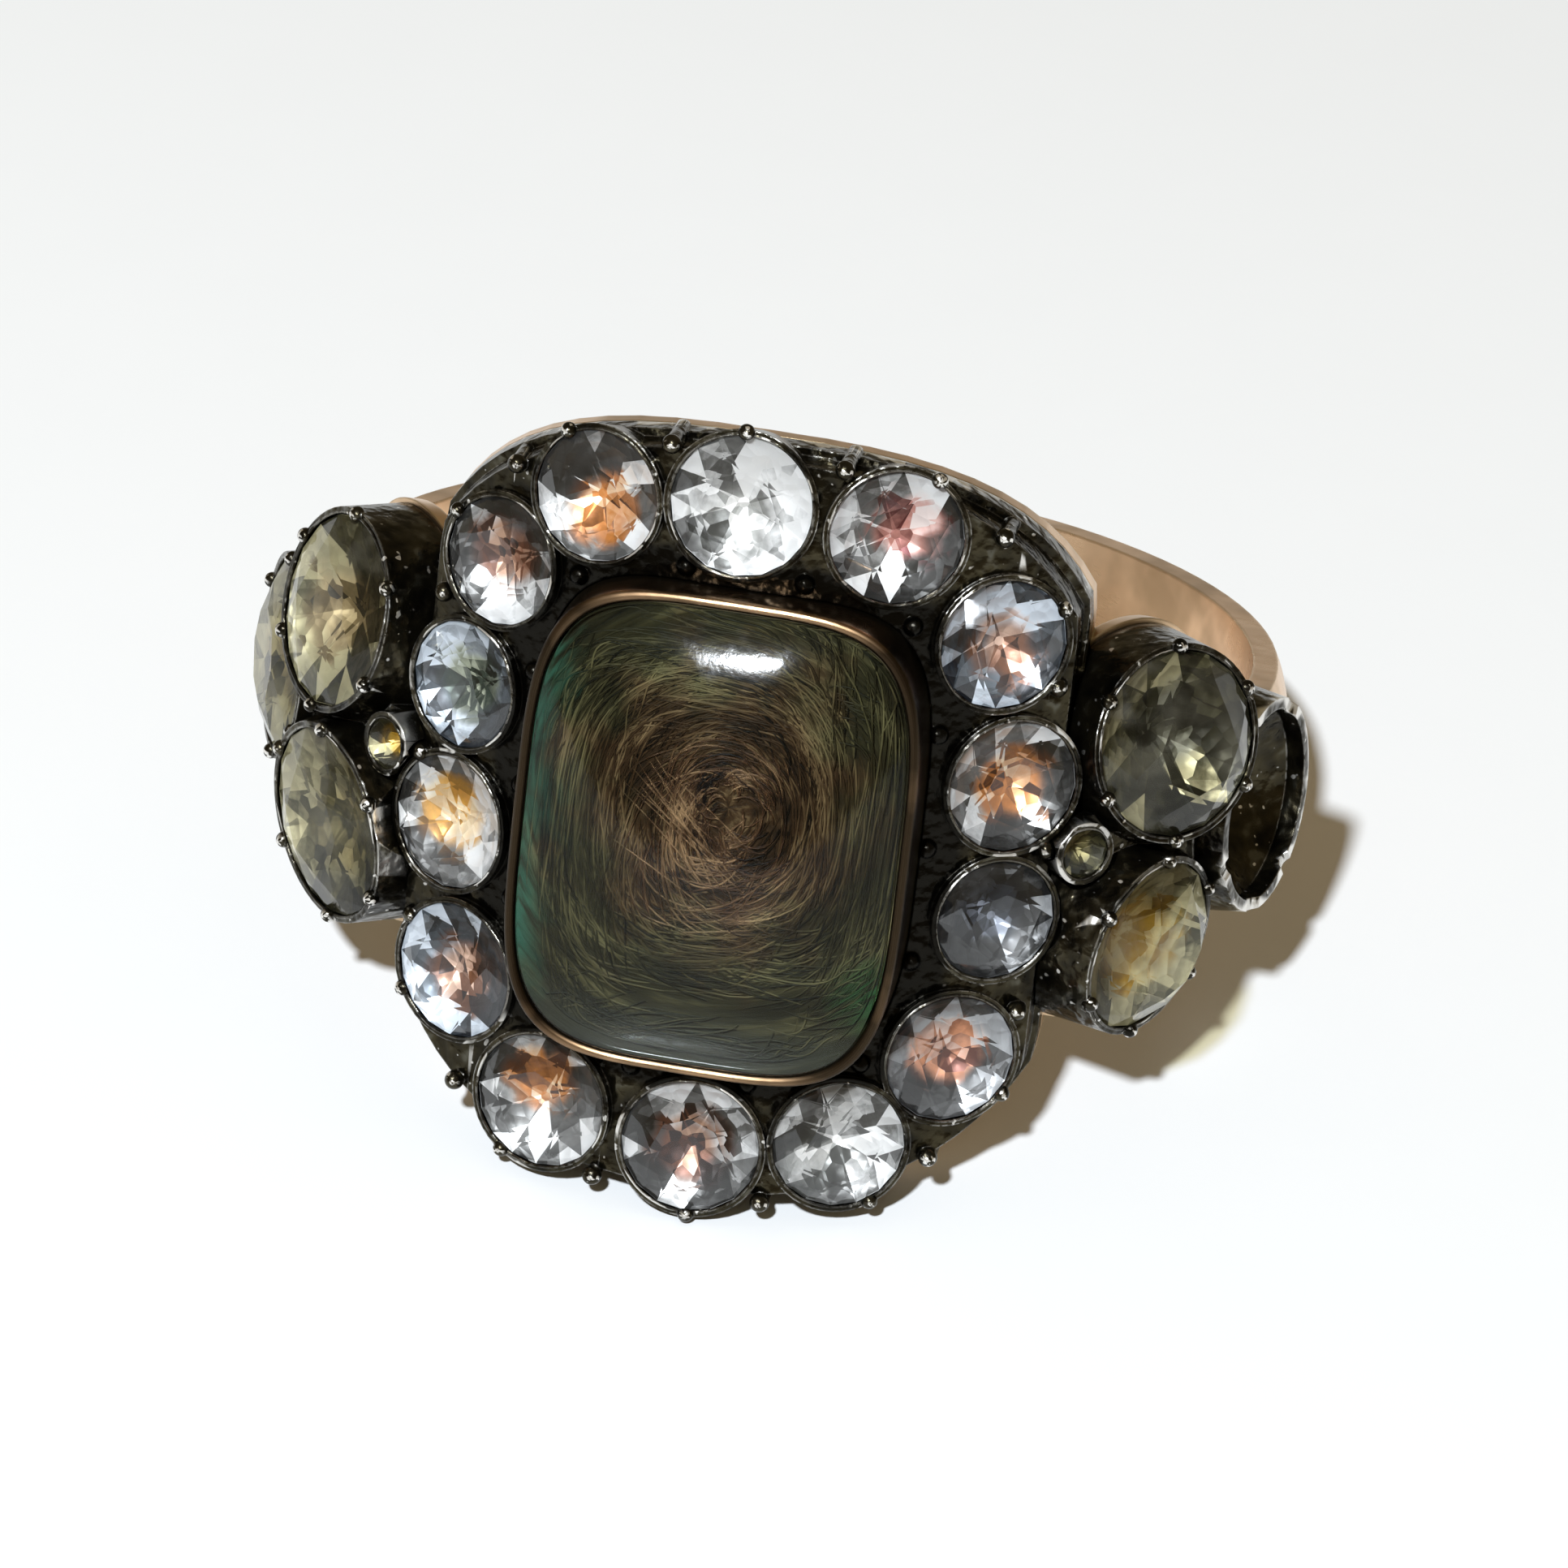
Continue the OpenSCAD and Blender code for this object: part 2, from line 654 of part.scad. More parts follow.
band();
head_setting();
hair_collar();
hair_pad();
crystal();
left_shoulder_setting();
right_shoulder_setting();
halo_stone(0);  // halo_stone_01
halo_stone(1);  // halo_stone_02
halo_stone(2);  // halo_stone_03
halo_stone(3);  // halo_stone_04
halo_stone(4);  // halo_stone_05
halo_stone(5);  // halo_stone_06
halo_stone(6);  // halo_stone_07
halo_stone(7);  // halo_stone_08
halo_stone(8);  // halo_stone_09
halo_stone(9);  // halo_stone_10
halo_stone(10);  // halo_stone_11
halo_stone(11);  // halo_stone_12
halo_stone(12);  // halo_stone_13
halo_stone(13);  // halo_stone_14
shoulder_stone(-1, 0);  // left_stone_upper
shoulder_stone(-1, 1);  // left_stone_lower
shoulder_stone(-1, 2);  // left_stone_outer
small_stone(-1);  // left_stone_small
shoulder_stone(1, 0);  // right_stone_upper
shoulder_stone(1, 1);  // right_stone_lower
small_stone(1);  // right_stone_small
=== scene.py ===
"""A mourning ring lying on its side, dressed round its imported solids.

The gold band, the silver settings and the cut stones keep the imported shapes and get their
finishes. The crystal, its collar and the hair are remade finer in the places that they take, and
each stone gets a foil behind it and a worn rim of silver round it.
"""

from __future__ import annotations

import json
import logging
import math
import random
from collections.abc import Iterator, Mapping, Sequence
from dataclasses import dataclass
from enum import Enum
from typing import Any, Optional, Union

import bmesh
import bpy
import numpy as np
from mathutils import Matrix, Vector, noise

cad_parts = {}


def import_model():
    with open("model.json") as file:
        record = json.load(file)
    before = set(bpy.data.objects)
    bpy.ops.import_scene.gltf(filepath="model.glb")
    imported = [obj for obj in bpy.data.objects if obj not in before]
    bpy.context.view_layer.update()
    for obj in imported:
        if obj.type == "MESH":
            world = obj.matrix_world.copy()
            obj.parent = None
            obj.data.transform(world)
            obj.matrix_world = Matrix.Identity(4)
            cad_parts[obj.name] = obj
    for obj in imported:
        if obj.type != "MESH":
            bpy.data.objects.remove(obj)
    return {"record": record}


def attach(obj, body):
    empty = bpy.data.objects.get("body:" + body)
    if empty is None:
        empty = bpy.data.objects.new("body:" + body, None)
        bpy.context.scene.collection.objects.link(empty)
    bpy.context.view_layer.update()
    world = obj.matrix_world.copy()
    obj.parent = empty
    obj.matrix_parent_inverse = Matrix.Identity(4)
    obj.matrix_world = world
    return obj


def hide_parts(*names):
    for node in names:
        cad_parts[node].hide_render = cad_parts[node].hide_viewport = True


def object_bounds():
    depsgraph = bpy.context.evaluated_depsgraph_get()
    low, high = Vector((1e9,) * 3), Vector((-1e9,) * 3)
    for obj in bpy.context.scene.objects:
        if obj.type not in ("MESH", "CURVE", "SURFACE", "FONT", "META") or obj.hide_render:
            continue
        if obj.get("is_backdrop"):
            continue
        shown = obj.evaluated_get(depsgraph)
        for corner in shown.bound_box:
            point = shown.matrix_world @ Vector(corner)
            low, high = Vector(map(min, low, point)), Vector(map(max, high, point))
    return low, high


log = logging.getLogger("mourning_ring")

MM = 0.001
BODY = "root"

# The middle of the hair's curl, in millimetres to the right of the crystal's middle and above it
CURL_HEART = (0.27, 0.68)

Colour = tuple[float, float, float]
Tones = tuple[Colour, Colour, Colour]
Number = Union["Wire", float]


# Shader maths


class Wire:
    """An output socket that Python's operators join to others through Math nodes."""

    def __init__(self, graph: Graph, socket: bpy.types.NodeSocket) -> None:
        """Keeps the socket and the graph that it belongs to."""
        self.graph = graph
        self.socket = socket

    def math(self, operation: str, *values: Number, clamp: bool = False) -> Wire:
        """Feeds this wire and other values to one Math node.

        Args:
            operation: The Math node's operation.
            values: The values after this one.
            clamp: Whether the result is kept between 0 and 1.

        Returns:
            The node's result.
        """
        return self.graph.compute(operation, self, *values, clamp=clamp)

    def __add__(self, other: Number) -> Wire:
        """Adds a value."""
        return self.math("ADD", other)

    __radd__ = __add__

    def __sub__(self, other: Number) -> Wire:
        """Takes a value away."""
        return self.math("SUBTRACT", other)

    def __rsub__(self, other: Number) -> Wire:
        """Takes this wire away from a value."""
        return self.graph.compute("SUBTRACT", other, self)

    def __mul__(self, other: Number) -> Wire:
        """Multiplies by a value."""
        return self.math("MULTIPLY", other)

    __rmul__ = __mul__

    def __truediv__(self, other: Number) -> Wire:
        """Divides by a value."""
        return self.math("DIVIDE", other)

    def __pow__(self, other: Number) -> Wire:
        """Raises to a power."""
        return self.math("POWER", other)

    def clamped(self) -> Wire:
        """Keeps the value between 0 and 1."""
        return self.math("ADD", 0.0, clamp=True)

    def step(self, low: float, high: float) -> Wire:
        """Goes smoothly from 0 to 1.

        Args:
            low: The value up to which it stays 0.
            high: The value from which it stays 1.

        Returns:
            The result.
        """
        return self.graph.add(
            "ShaderNodeMapRange",
            {"interpolation_type": "SMOOTHSTEP"},
            {"Value": self, "From Min": low, "From Max": high},
        )


class Graph:
    """The node tree of one material."""

    def __init__(self, name: str) -> None:
        """Makes an empty material.

        Args:
            name: The material's name.
        """
        self.material = bpy.data.materials.new(name)
        self.material.use_nodes = True
        self.tree = self.material.node_tree
        self.tree.nodes.clear()

    def add(
        self,
        kind: str,
        settings: Mapping[str, Any],
        sockets: Mapping[Union[str, int], Any],
        output: Union[str, int] = 0,
    ) -> Wire:
        """Adds one node.

        Args:
            kind: The node's type.
            settings: Its properties, where "stops" gives the places and colours of a ramp.
            sockets: Values or wires for its inputs, by identifier, name or number.
            output: The output that is returned.

        Returns:
            That output as a wire.
        """
        node = self.tree.nodes.new(kind)
        for key, value in settings.items():
            if key == "stops":
                self._set_stops(node.color_ramp, value)
            else:
                setattr(node, key, value)
        for key, value in sockets.items():
            socket = self._socket(node.inputs, key)
            if isinstance(value, Wire):
                self.tree.links.new(value.socket, socket)
            elif socket.type == "RGBA":
                socket.default_value = (*value, 1.0)
            else:
                socket.default_value = value
        return Wire(self, self._socket(node.outputs, output))

    @staticmethod
    def _socket(sockets: Any, key: Union[str, int]) -> bpy.types.NodeSocket:
        """Finds a socket.

        Args:
            sockets: A node's inputs or outputs.
            key: The socket's number, identifier or name.

        Returns:
            The socket.
        """
        if isinstance(key, int):
            return sockets[key]
        return next((s for s in sockets if s.identifier == key), None) or sockets[key]

    @staticmethod
    def _set_stops(ramp: bpy.types.ColorRamp, stops: Sequence[tuple[float, Colour]]) -> None:
        """Gives a ramp its stops.

        Args:
            ramp: The ramp.
            stops: The place and the colour of each stop.
        """
        while len(ramp.elements) < len(stops):
            ramp.elements.new(1.0)
        for element, (place, colour) in zip(ramp.elements, stops):
            element.position = place
            element.color = (*colour, 1.0)

    def compute(self, operation: str, *values: Number, clamp: bool = False) -> Wire:
        """Adds one Math node."""
        settings = {"operation": operation, "use_clamp": clamp}
        return self.add("ShaderNodeMath", settings, dict(enumerate(values)))

    def mix(self, factor: Number, first: Any, second: Any) -> Wire:
        """Mixes two colours."""
        sockets = {"Factor_Float": factor, "A_Color": first, "B_Color": second}
        return self.add("ShaderNodeMix", {"data_type": "RGBA"}, sockets, "Result_Color")

    def ramp(self, factor: Number, stops: Sequence[tuple[float, Colour]]) -> Wire:
        """Turns a value into a colour."""
        return self.add("ShaderNodeValToRGB", {"stops": stops}, {"Fac": factor})

    def place(self, scale: Sequence[float] = (1.0, 1.0, 1.0)) -> Wire:
        """Gives the place on the object in millimetres.

        Args:
            scale: What each direction is multiplied by.

        Returns:
            The place.
        """
        place = self.add("ShaderNodeTexCoord", {}, {}, "Object")
        stretch = [s / MM for s in scale]
        return self.add("ShaderNodeVectorMath", {"operation": "MULTIPLY"}, {0: place, 1: stretch})

    def carried(self, name: str) -> Wire:
        """Reads a value that the mesh carries as an attribute."""
        return self.add("ShaderNodeAttribute", {"attribute_name": name}, {}, "Fac")

    def cloud(self, vector: Wire, scale: float, detail: float = 3.0, rough: float = 0.55) -> Wire:
        """Gives soft noise from 0 to 1.

        Args:
            vector: The place that it is read at.
            scale: Lumps to a millimetre.
            detail: Layers of finer noise.
            rough: Strength of the finer layers.

        Returns:
            The noise.
        """
        sockets = {"Vector": vector, "Scale": scale, "Detail": detail, "Roughness": rough}
        return self.add("ShaderNodeTexNoise", {}, sockets, "Fac")

    def bump(self, height: Wire, strength: float, distance_mm: float, normal: Any = None) -> Wire:
        """Turns a height into a normal.

        Args:
            height: The height, from 0 to 1.
            strength: How much of it shows.
            distance_mm: How high 1 stands, in millimetres.
            normal: The normal that it is laid over, if not the surface's own.

        Returns:
            The normal.
        """
        sockets = {"Height": height, "Strength": strength, "Distance": distance_mm * MM}
        if normal is not None:
            sockets["Normal"] = normal
        return self.add("ShaderNodeBump", {}, sockets)

    def rounded(self, radius_mm: float) -> Wire:
        """Gives the normal of the surface with its sharp edges rounded."""
        return self.add("ShaderNodeBevel", {"samples": 4}, {"Radius": radius_mm * MM})

    def edges(self, rounded: Wire, gain: float) -> Wire:
        """Marks sharp edges.

        Args:
            rounded: The surface's normal with its edges rounded.
            gain: How soon a turn counts as an edge.

        Returns:
            0 on a flat stretch and 1 on an edge.
        """
        flat = self.add("ShaderNodeNewGeometry", {}, {}, "True Normal")
        sockets = {0: rounded, 1: flat}
        turn = self.add("ShaderNodeVectorMath", {"operation": "DOT_PRODUCT"}, sockets, "Value")
        return ((1.0 - turn) * gain).clamped()

    def open_sky(self, distance_mm: float) -> Wire:
        """Tells open surfaces, near 1, from hollows, near 0."""
        sockets = {"Distance": distance_mm * MM}
        return self.add("ShaderNodeAmbientOcclusion", {"samples": 4}, sockets, "AO")

    def local(self, posture: Posture) -> tuple[Wire, Wire]:
        """Gives the place on the ring's face, as if the ring stood upright.

        Args:
            posture: How the ring lies.

        Returns:
            Millimetres to the right of the finger's axis, and along the axis from its middle.
        """
        turn = Matrix.Rotation(posture.tilt, 3, "X")
        sockets = {
            "Vector": self.place(),
            "Rotation": (posture.tilt, 0.0, 0.0),
            "Location": tuple(turn @ posture.centre / -MM),
        }
        upright = self.add("ShaderNodeMapping", {"vector_type": "POINT"}, sockets)
        across = self.add("ShaderNodeSeparateXYZ", {}, {0: upright}, "X")
        along = self.add("ShaderNodeSeparateXYZ", {}, {0: upright}, "Z")
        return across, along

    def lit_through(self, glass: Wire, tint: Colour) -> Wire:
        """Lets the light of lamps through glass, so that it falls on what lies behind.

        Args:
            glass: The glass's shader.
            tint: The colour that the light takes on.

        Returns:
            The shader of both.
        """
        lamp = self.add("ShaderNodeLightPath", {}, {}, "Is Shadow Ray")
        clear = self.add("ShaderNodeBsdfTransparent", {}, {"Color": tint})
        return self.add("ShaderNodeMixShader", {}, {0: lamp, 1: glass, 2: clear})

    def finish(self, shader: Wire) -> bpy.types.Material:
        """Puts a shader on the surface.

        Args:
            shader: The shader.

        Returns:
            The material.
        """
        output = self.tree.nodes.new("ShaderNodeOutputMaterial")
        self.tree.links.new(shader.socket, output.inputs["Surface"])
        return self.material

    def principled(self, **sockets: Any) -> Wire:
        """Adds the main shader, with its sockets named by words joined with an underscore."""
        named = {key.replace("_", " "): value for key, value in sockets.items()}
        return self.add("ShaderNodeBsdfPrincipled", {}, named)


# Finishes


@dataclass(frozen=True)
class OxidisedSilver:
    """Old silver, black in its hollows and worn to bare metal on its edges.

    Where a posture is given, painted shadow blackens the gap round the collar. The opening is half
    the gap's width and half its height in millimetres.
    """

    name: str
    black: Colour = (0.010, 0.009, 0.007)
    brown: Colour = (0.055, 0.046, 0.026)
    grey: Colour = (0.10, 0.096, 0.075)
    bare: Colour = (0.88, 0.86, 0.82)
    edge_mm: float = 0.05
    hollow_mm: float = 0.4
    wear: float = 3.2
    metallic: float = 0.94
    posture: Optional[Posture] = None
    opening: tuple[float, float] = (4.35, 5.05)

    def material(self) -> bpy.types.Material:
        """Builds the finish.

        Returns:
            The material.
        """
        g = Graph(self.name)
        place = g.place()
        patches = g.cloud(place, 0.9)
        grain = g.cloud(place, 2.6, 1.5)
        pits = g.cloud(place, 9.0, 2.0)
        rounded = g.rounded(self.edge_mm)
        open_sky = g.open_sky(self.hollow_mm)
        worn = g.edges(rounded, self.wear) * open_sky * pits.step(0.32, 0.52)
        worn = worn * (0.25 + 0.65 * patches.step(0.44, 0.58))
        crest = g.add("ShaderNodeNewGeometry", {}, {}, "Pointiness").step(0.572, 0.60)
        crest = crest * open_sky.step(0.72, 0.92)
        specks = g.cloud(place, 5.0, 1.0).step(0.70, 0.75) * open_sky * 0.8
        worn = (worn + crest + specks).clamped()
        body = g.mix((patches * 0.6 + grain * 0.5).step(0.35, 0.75), self.black, self.brown)
        body = g.mix(grain.step(0.58, 0.74) * open_sky.step(0.5, 0.95), body, self.grey)
        colour = g.mix(worn, body, self.bare)
        # Black in the hollows is the silver's patina; where a posture is given, black round the
        # collar is painted shadow in the gap.
        clean = open_sky.step(0.1, 0.6)
        if self.posture is not None:
            clean = clean * self._clear_of_gap_shadow(g, grain)
        shade = g.mix(clean, self.black, colour)
        rough = 0.17 + worn * 0.12 + patches * 0.10
        normal = g.bump(pits, 0.3, 0.02, g.bump(grain, 0.8, 0.10, rounded))
        shader = g.principled(
            Base_Color=shade, Metallic=self.metallic, Roughness=rough, Normal=normal
        )
        return g.finish(shader)

    def _clear_of_gap_shadow(self, g: Graph, grain: Wire) -> Wire:
        """Marks the metal away from the painted shadow that blackens the gap round the collar.

        Args:
            g: The node tree.
            grain: Noise that breaks up the painted shadow's edge.

        Returns:
            0 in the painted shadow and 1 away from it.
        """
        across, along = g.local(self.posture)
        right, up = across / self.opening[0], along / self.opening[1]
        reach = ((right * right) ** 2.0 + (up * up) ** 2.0) ** 0.25
        return (reach + (grain - 0.5) * 0.05).step(1.03, 1.10)


@dataclass(frozen=True)
class RoseGold:
    """Worn rose gold, with a dull film and fine scratches.

    Where a posture is given, painted shade darkens the collar's two long flanks, and thins out
    over the reach, in millimetres along the finger from its middle.
    """

    name: str
    metal: Colour = (0.82, 0.57, 0.36)
    film_and_side_shade: Colour = (0.26, 0.19, 0.10)
    film_share: float = 0.5
    rough: float = 0.20
    edge: Colour = (0.62, 0.56, 0.36)
    edge_mm: float = 0.08
    hollow_mm: float = 0.4
    posture: Optional[Posture] = None
    reach: tuple[float, float] = (3.9, 4.9)

    def material(self) -> bpy.types.Material:
        """Builds the finish.

        Returns:
            The material.
        """
        g = Graph(self.name)
        place = g.place()
        patches = g.cloud(place, 0.5)
        scratches = g.cloud(g.place((1.0, 1.0, 14.0)), 1.6, 2.0, 0.7)
        rounded = g.rounded(self.edge_mm)
        hollow = 1.0 - g.open_sky(self.hollow_mm)
        stain_and_side_shade = patches.step(0.38, 0.70) * self.film_share
        if self.posture is not None:
            # Painted shade: the long flanks of the collar are darkened and its two ends are left
            # bright.
            side_shade_distance = g.local(self.posture)[1].math("ABSOLUTE") + (patches - 0.5) * 2.0
            stain_and_side_shade = (stain_and_side_shade + (1.0 - side_shade_distance.step(*self.reach)) * 0.9).clamped()
        film_and_side_shade = (stain_and_side_shade + hollow.step(0.3, 0.9) * 0.8).clamped()
        colour = g.mix(film_and_side_shade, self.metal, self.film_and_side_shade)
        colour = g.mix(g.edges(rounded, 2.0) * 0.6, colour, self.edge)
        rough = self.rough + patches * 0.12 + scratches * 0.05 + film_and_side_shade * 0.12
        normal = g.bump(scratches, 0.05, 0.006, g.bump(patches, 0.25, 0.10, rounded))
        shader = g.principled(Base_Color=colour, Metallic=1.0, Roughness=rough, Normal=normal)
        return g.finish(shader)


@dataclass(frozen=True)
class Paste:
    """Cut lead glass, clear or clouded by age.

    The clouding is the share of dull glass in its cloudy patches, the haze their roughness, and
    the bend its index of refraction.
    """

    name: str
    tint: Colour
    cloud_tint: Colour
    clouding: float
    haze: float
    bend: float = 1.58
    dull_rough: float = 0.3

    def material(self) -> bpy.types.Material:
        """Builds the finish.

        Returns:
            The material.
        """
        g = Graph(self.name)
        place = g.place()
        patches = g.cloud(place, 0.8)
        specks = g.cloud(place, 13.0)
        cloudy = patches.step(0.42, 0.68) * self.clouding + specks.step(0.62, 0.8) * 0.08
        clear = g.principled(
            Base_Color=self.tint,
            Roughness=patches.step(0.45, 0.7) * self.haze,
            IOR=self.bend,
            Transmission_Weight=1.0,
            Normal=g.bump(patches, 0.06, 0.03),
        )
        dull = g.principled(
            Base_Color=self.cloud_tint, Roughness=self.dull_rough, IOR=self.bend
        )
        stone = g.add("ShaderNodeMixShader", {}, {0: cloudy.clamped(), 1: clear, 2: dull})
        return g.finish(g.lit_through(stone, self.tint))


@dataclass(frozen=True)
class Foil:
    """Crumpled leaf behind a stone, with one set of tones in its heart and one round it.

    The foil's mesh tells how bright each facet is, as its tone, and how far each point is away
    from the heart's middle.
    """

    name: str
    heart: Tones
    margin: Tones
    heart_stops: tuple[float, float, float] = (0.05, 0.4, 0.85)
    margin_stops: tuple[float, float, float] = (0.1, 0.45, 0.8)
    crease_scale: float = 2.8
    metallic: float = 0.45
    rough: float = 0.38

    def material(self) -> bpy.types.Material:
        """Builds the finish.

        Returns:
            The material.
        """
        g = Graph(self.name)
        place = g.place()
        creases = {"Vector": place, "Scale": self.crease_scale}
        fold = g.add("ShaderNodeTexVoronoi", {}, creases, "Color") - 0.5
        crumple = g.add("ShaderNodeTexVoronoi", {}, creases, "Distance")
        flecks = g.cloud(place, 5.0)
        heart = 1.0 - (g.carried("away") + fold * 0.25).step(0.36, 0.60)
        blotch = fold * (0.5 + heart * 0.6) + (flecks - 0.5) * 0.35
        tone = (g.carried("tone") * (1.0 - heart * 0.55) + heart * 0.2 + blotch).clamped()
        inner = g.ramp(tone, tuple(zip(self.heart_stops, self.heart)))
        outer = g.ramp(tone, tuple(zip(self.margin_stops, self.margin)))
        shader = g.principled(
            Base_Color=g.mix(heart, outer, inner),
            Metallic=self.metallic,
            Roughness=self.rough,
            Normal=g.bump(crumple, 0.6, 0.10),
        )
        return g.finish(shader)


CLEAR_MARGIN = ((0.020, 0.019, 0.017), (0.18, 0.178, 0.17), (1.0, 0.99, 0.97))
BLUISH_MARGIN = ((0.012, 0.014, 0.018), (0.11, 0.13, 0.15), (0.85, 0.92, 1.0))
GREY_MARGIN = ((0.015, 0.015, 0.015), (0.09, 0.09, 0.09), (0.50, 0.51, 0.52))
OLIVE_MARGIN = ((0.008, 0.008, 0.005), (0.080, 0.076, 0.045), (0.52, 0.49, 0.36))


class Glint(Enum):
    """The tones of the foils, dark to bright, in their heart and round it."""

    WHITE = (((0.05, 0.05, 0.045), (0.40, 0.40, 0.38), (1.0, 0.98, 0.95)), CLEAR_MARGIN)
    ROSE = (((0.10, 0.02, 0.02), (0.60, 0.27, 0.22), (1.0, 0.85, 0.80)), CLEAR_MARGIN)
    AMBER = (((0.08, 0.025, 0.008), (0.60, 0.22, 0.05), (1.0, 0.80, 0.55)), CLEAR_MARGIN)
    BLUSH = (((0.12, 0.035, 0.02), (0.80, 0.36, 0.20), (1.0, 0.90, 0.84)), GREY_MARGIN)
    BROWN = (((0.02, 0.007, 0.005), (0.13, 0.045, 0.022), (0.50, 0.30, 0.20)), CLEAR_MARGIN)
    UMBER = (((0.02, 0.007, 0.005), (0.22, 0.09, 0.045), (0.80, 0.55, 0.42)), BLUISH_MARGIN)
    GREEN = (((0.008, 0.012, 0.009), (0.035, 0.05, 0.038), (0.45, 0.48, 0.36)), BLUISH_MARGIN)
    SMOKE = (((0.006, 0.006, 0.008), (0.035, 0.04, 0.05), (0.32, 0.35, 0.42)), GREY_MARGIN)
    GOLD = (((0.14, 0.06, 0.01), (0.75, 0.38, 0.07), (1.0, 0.84, 0.58)), CLEAR_MARGIN)
    HONEY = (((0.08, 0.045, 0.006), (0.60, 0.36, 0.04), (1.0, 0.86, 0.52)), OLIVE_MARGIN)
    OLIVE = (((0.02, 0.02, 0.01), (0.12, 0.105, 0.05), (0.50, 0.43, 0.26)), OLIVE_MARGIN)
    MURK = (((0.006, 0.006, 0.005), (0.035, 0.035, 0.026), (0.30, 0.31, 0.30)), OLIVE_MARGIN)
    BEIGE = (((0.03, 0.025, 0.018), (0.20, 0.15, 0.085), (0.55, 0.45, 0.31)), OLIVE_MARGIN)

    def material(self) -> bpy.types.Material:
        """Builds the foil of these tones once."""
        name = f"foil_{self.name.lower()}"
        return bpy.data.materials.get(name) or Foil(name, *self.value).material()


@dataclass(frozen=True)
class Crystal:
    """Polished rock crystal, faintly green, dulled by fine wear.

    The bend is its index of refraction, set low so that the floor is hardly mirrored in it.
    """

    name: str = "crystal"
    tint: Colour = (0.93, 0.98, 0.95)
    bend: float = 1.22
    rough: float = 0.08

    def material(self) -> bpy.types.Material:
        """Builds the finish.

        Returns:
            The material.
        """
        g = Graph(self.name)
        marks = g.cloud(g.place(), 2.5, 4.0, 0.6)
        shader = g.principled(
            Base_Color=self.tint,
            Roughness=self.rough + marks.step(0.5, 0.8) * 0.06,
            IOR=self.bend,
            Transmission_Weight=1.0,
            Normal=g.bump(marks, 0.10, 0.03),
        )
        return g.finish(g.lit_through(shader, self.tint))


@dataclass(frozen=True)
class Hair:
    """Brown hair in a curl, gone olive round it, teal towards its left edge and green round one
    corner.

    Loose hair has a tone for each strand in its mesh, and the ground under it has wisps instead.
    The corner is the middle of the greenest patch, in millimetres.
    """

    name: str
    posture: Posture
    loose: bool = False
    heart: tuple[float, float] = CURL_HEART
    corner: tuple[float, float] = (3.3, -2.7)
    stops: tuple[float, float, float] = (0.05, 0.5, 1.0)
    rough: float = 0.5
    shine: float = 0.12
    brown: Tones = ((0.002, 0.001, 0.001), (0.040, 0.018, 0.008), (0.21, 0.125, 0.065))
    olive: Tones = ((0.002, 0.002, 0.001), (0.026, 0.021, 0.009), (0.15, 0.12, 0.058))
    grey: Colour = (0.055, 0.052, 0.042)
    teal: Colour = (0.030, 0.130, 0.090)
    green: Colour = (0.025, 0.085, 0.028)

    def material(self) -> bpy.types.Material:
        """Builds the finish.

        Returns:
            The material.
        """
        g = Graph(self.name)
        across, along = g.local(self.posture)
        right, up = across - self.heart[0], along - self.heart[1]
        radius = (right * right + up * up) ** 0.5
        near = radius.math("MAXIMUM", 0.05)
        spot = (right / near, up / near, radius)
        locks = self._streaks(g, spot, 1.1, 1.5)
        wisps = self._streaks(g, spot, 3.5, 9.0)
        tone = (locks - 0.5) * 1.5
        if self.loose:
            tone = (tone + g.carried("tone") * 0.85).clamped()
        else:
            tone = (tone + (wisps - 0.5) * 0.9 + 0.42).clamped()
        curl = g.ramp(tone, tuple(zip(self.stops, self.brown)))
        round_it = g.ramp(tone, tuple(zip(self.stops, self.olive)))
        patches = g.cloud(g.place(), 0.9)
        colour = g.mix((radius + (patches - 0.5) * 5.0).step(1.6, 3.6), curl, round_it)
        left_edge = (0.0 - across + (patches - 0.5) * 1.6).step(2.7, 3.9) * 0.85
        beside, above = across - self.corner[0], along - self.corner[1]
        off_corner = ((beside ** 2.0 + above ** 2.0) ** 0.5).clamped()
        foot = (0.0 - along + (patches - 0.5) * 1.2).step(2.9, 4.4) * 0.55
        colour = g.mix(foot, colour, self.grey)
        colour = g.mix(left_edge * wisps.step(0.3, 0.6), colour, self.teal)
        colour = g.mix((1.0 - off_corner) * wisps.step(0.35, 0.6), colour, self.green)
        shader = g.principled(
            Base_Color=colour,
            Roughness=self.rough,
            Specular_IOR_Level=self.shine,
            Normal=g.bump(wisps, 0.5, 0.05),
        )
        return g.finish(shader)

    @staticmethod
    def _streaks(g: Graph, spot: tuple[Wire, Wire, Wire], turn: float, out: float) -> Wire:
        """Gives noise that is drawn out round the curl.

        Args:
            g: The node tree.
            spot: The direction from the curl's middle, right and up, and the distance from it.
            turn: Lumps to a sixth of a turn.
            out: Lumps to a millimetre outwards.

        Returns:
            The noise.
        """
        right, up, radius = spot
        sockets = {"X": right * turn, "Y": up * turn, "Z": radius * out}
        return g.cloud(g.add("ShaderNodeCombineXYZ", {}, sockets), 1.0, 3.0, 0.6)


@dataclass(frozen=True)
class PaleBoard:
    """The plain pale floor."""

    name: str = "pale_board"
    shade: Colour = (0.88, 0.885, 0.89)
    fibre_shade: float = 0.985
    rough: float = 0.7

    def material(self) -> bpy.types.Material:
        """Builds the finish.

        Returns:
            The material.
        """
        g = Graph(self.name)
        fibres = g.cloud(g.place(), 0.35, 4.0)
        colour = g.mix(fibres, self.shade, tuple(c * self.fibre_shade for c in self.shade))
        normal = g.bump(fibres, 0.05, 0.05)
        return g.finish(g.principled(Base_Color=colour, Roughness=self.rough, Normal=normal))


# Places


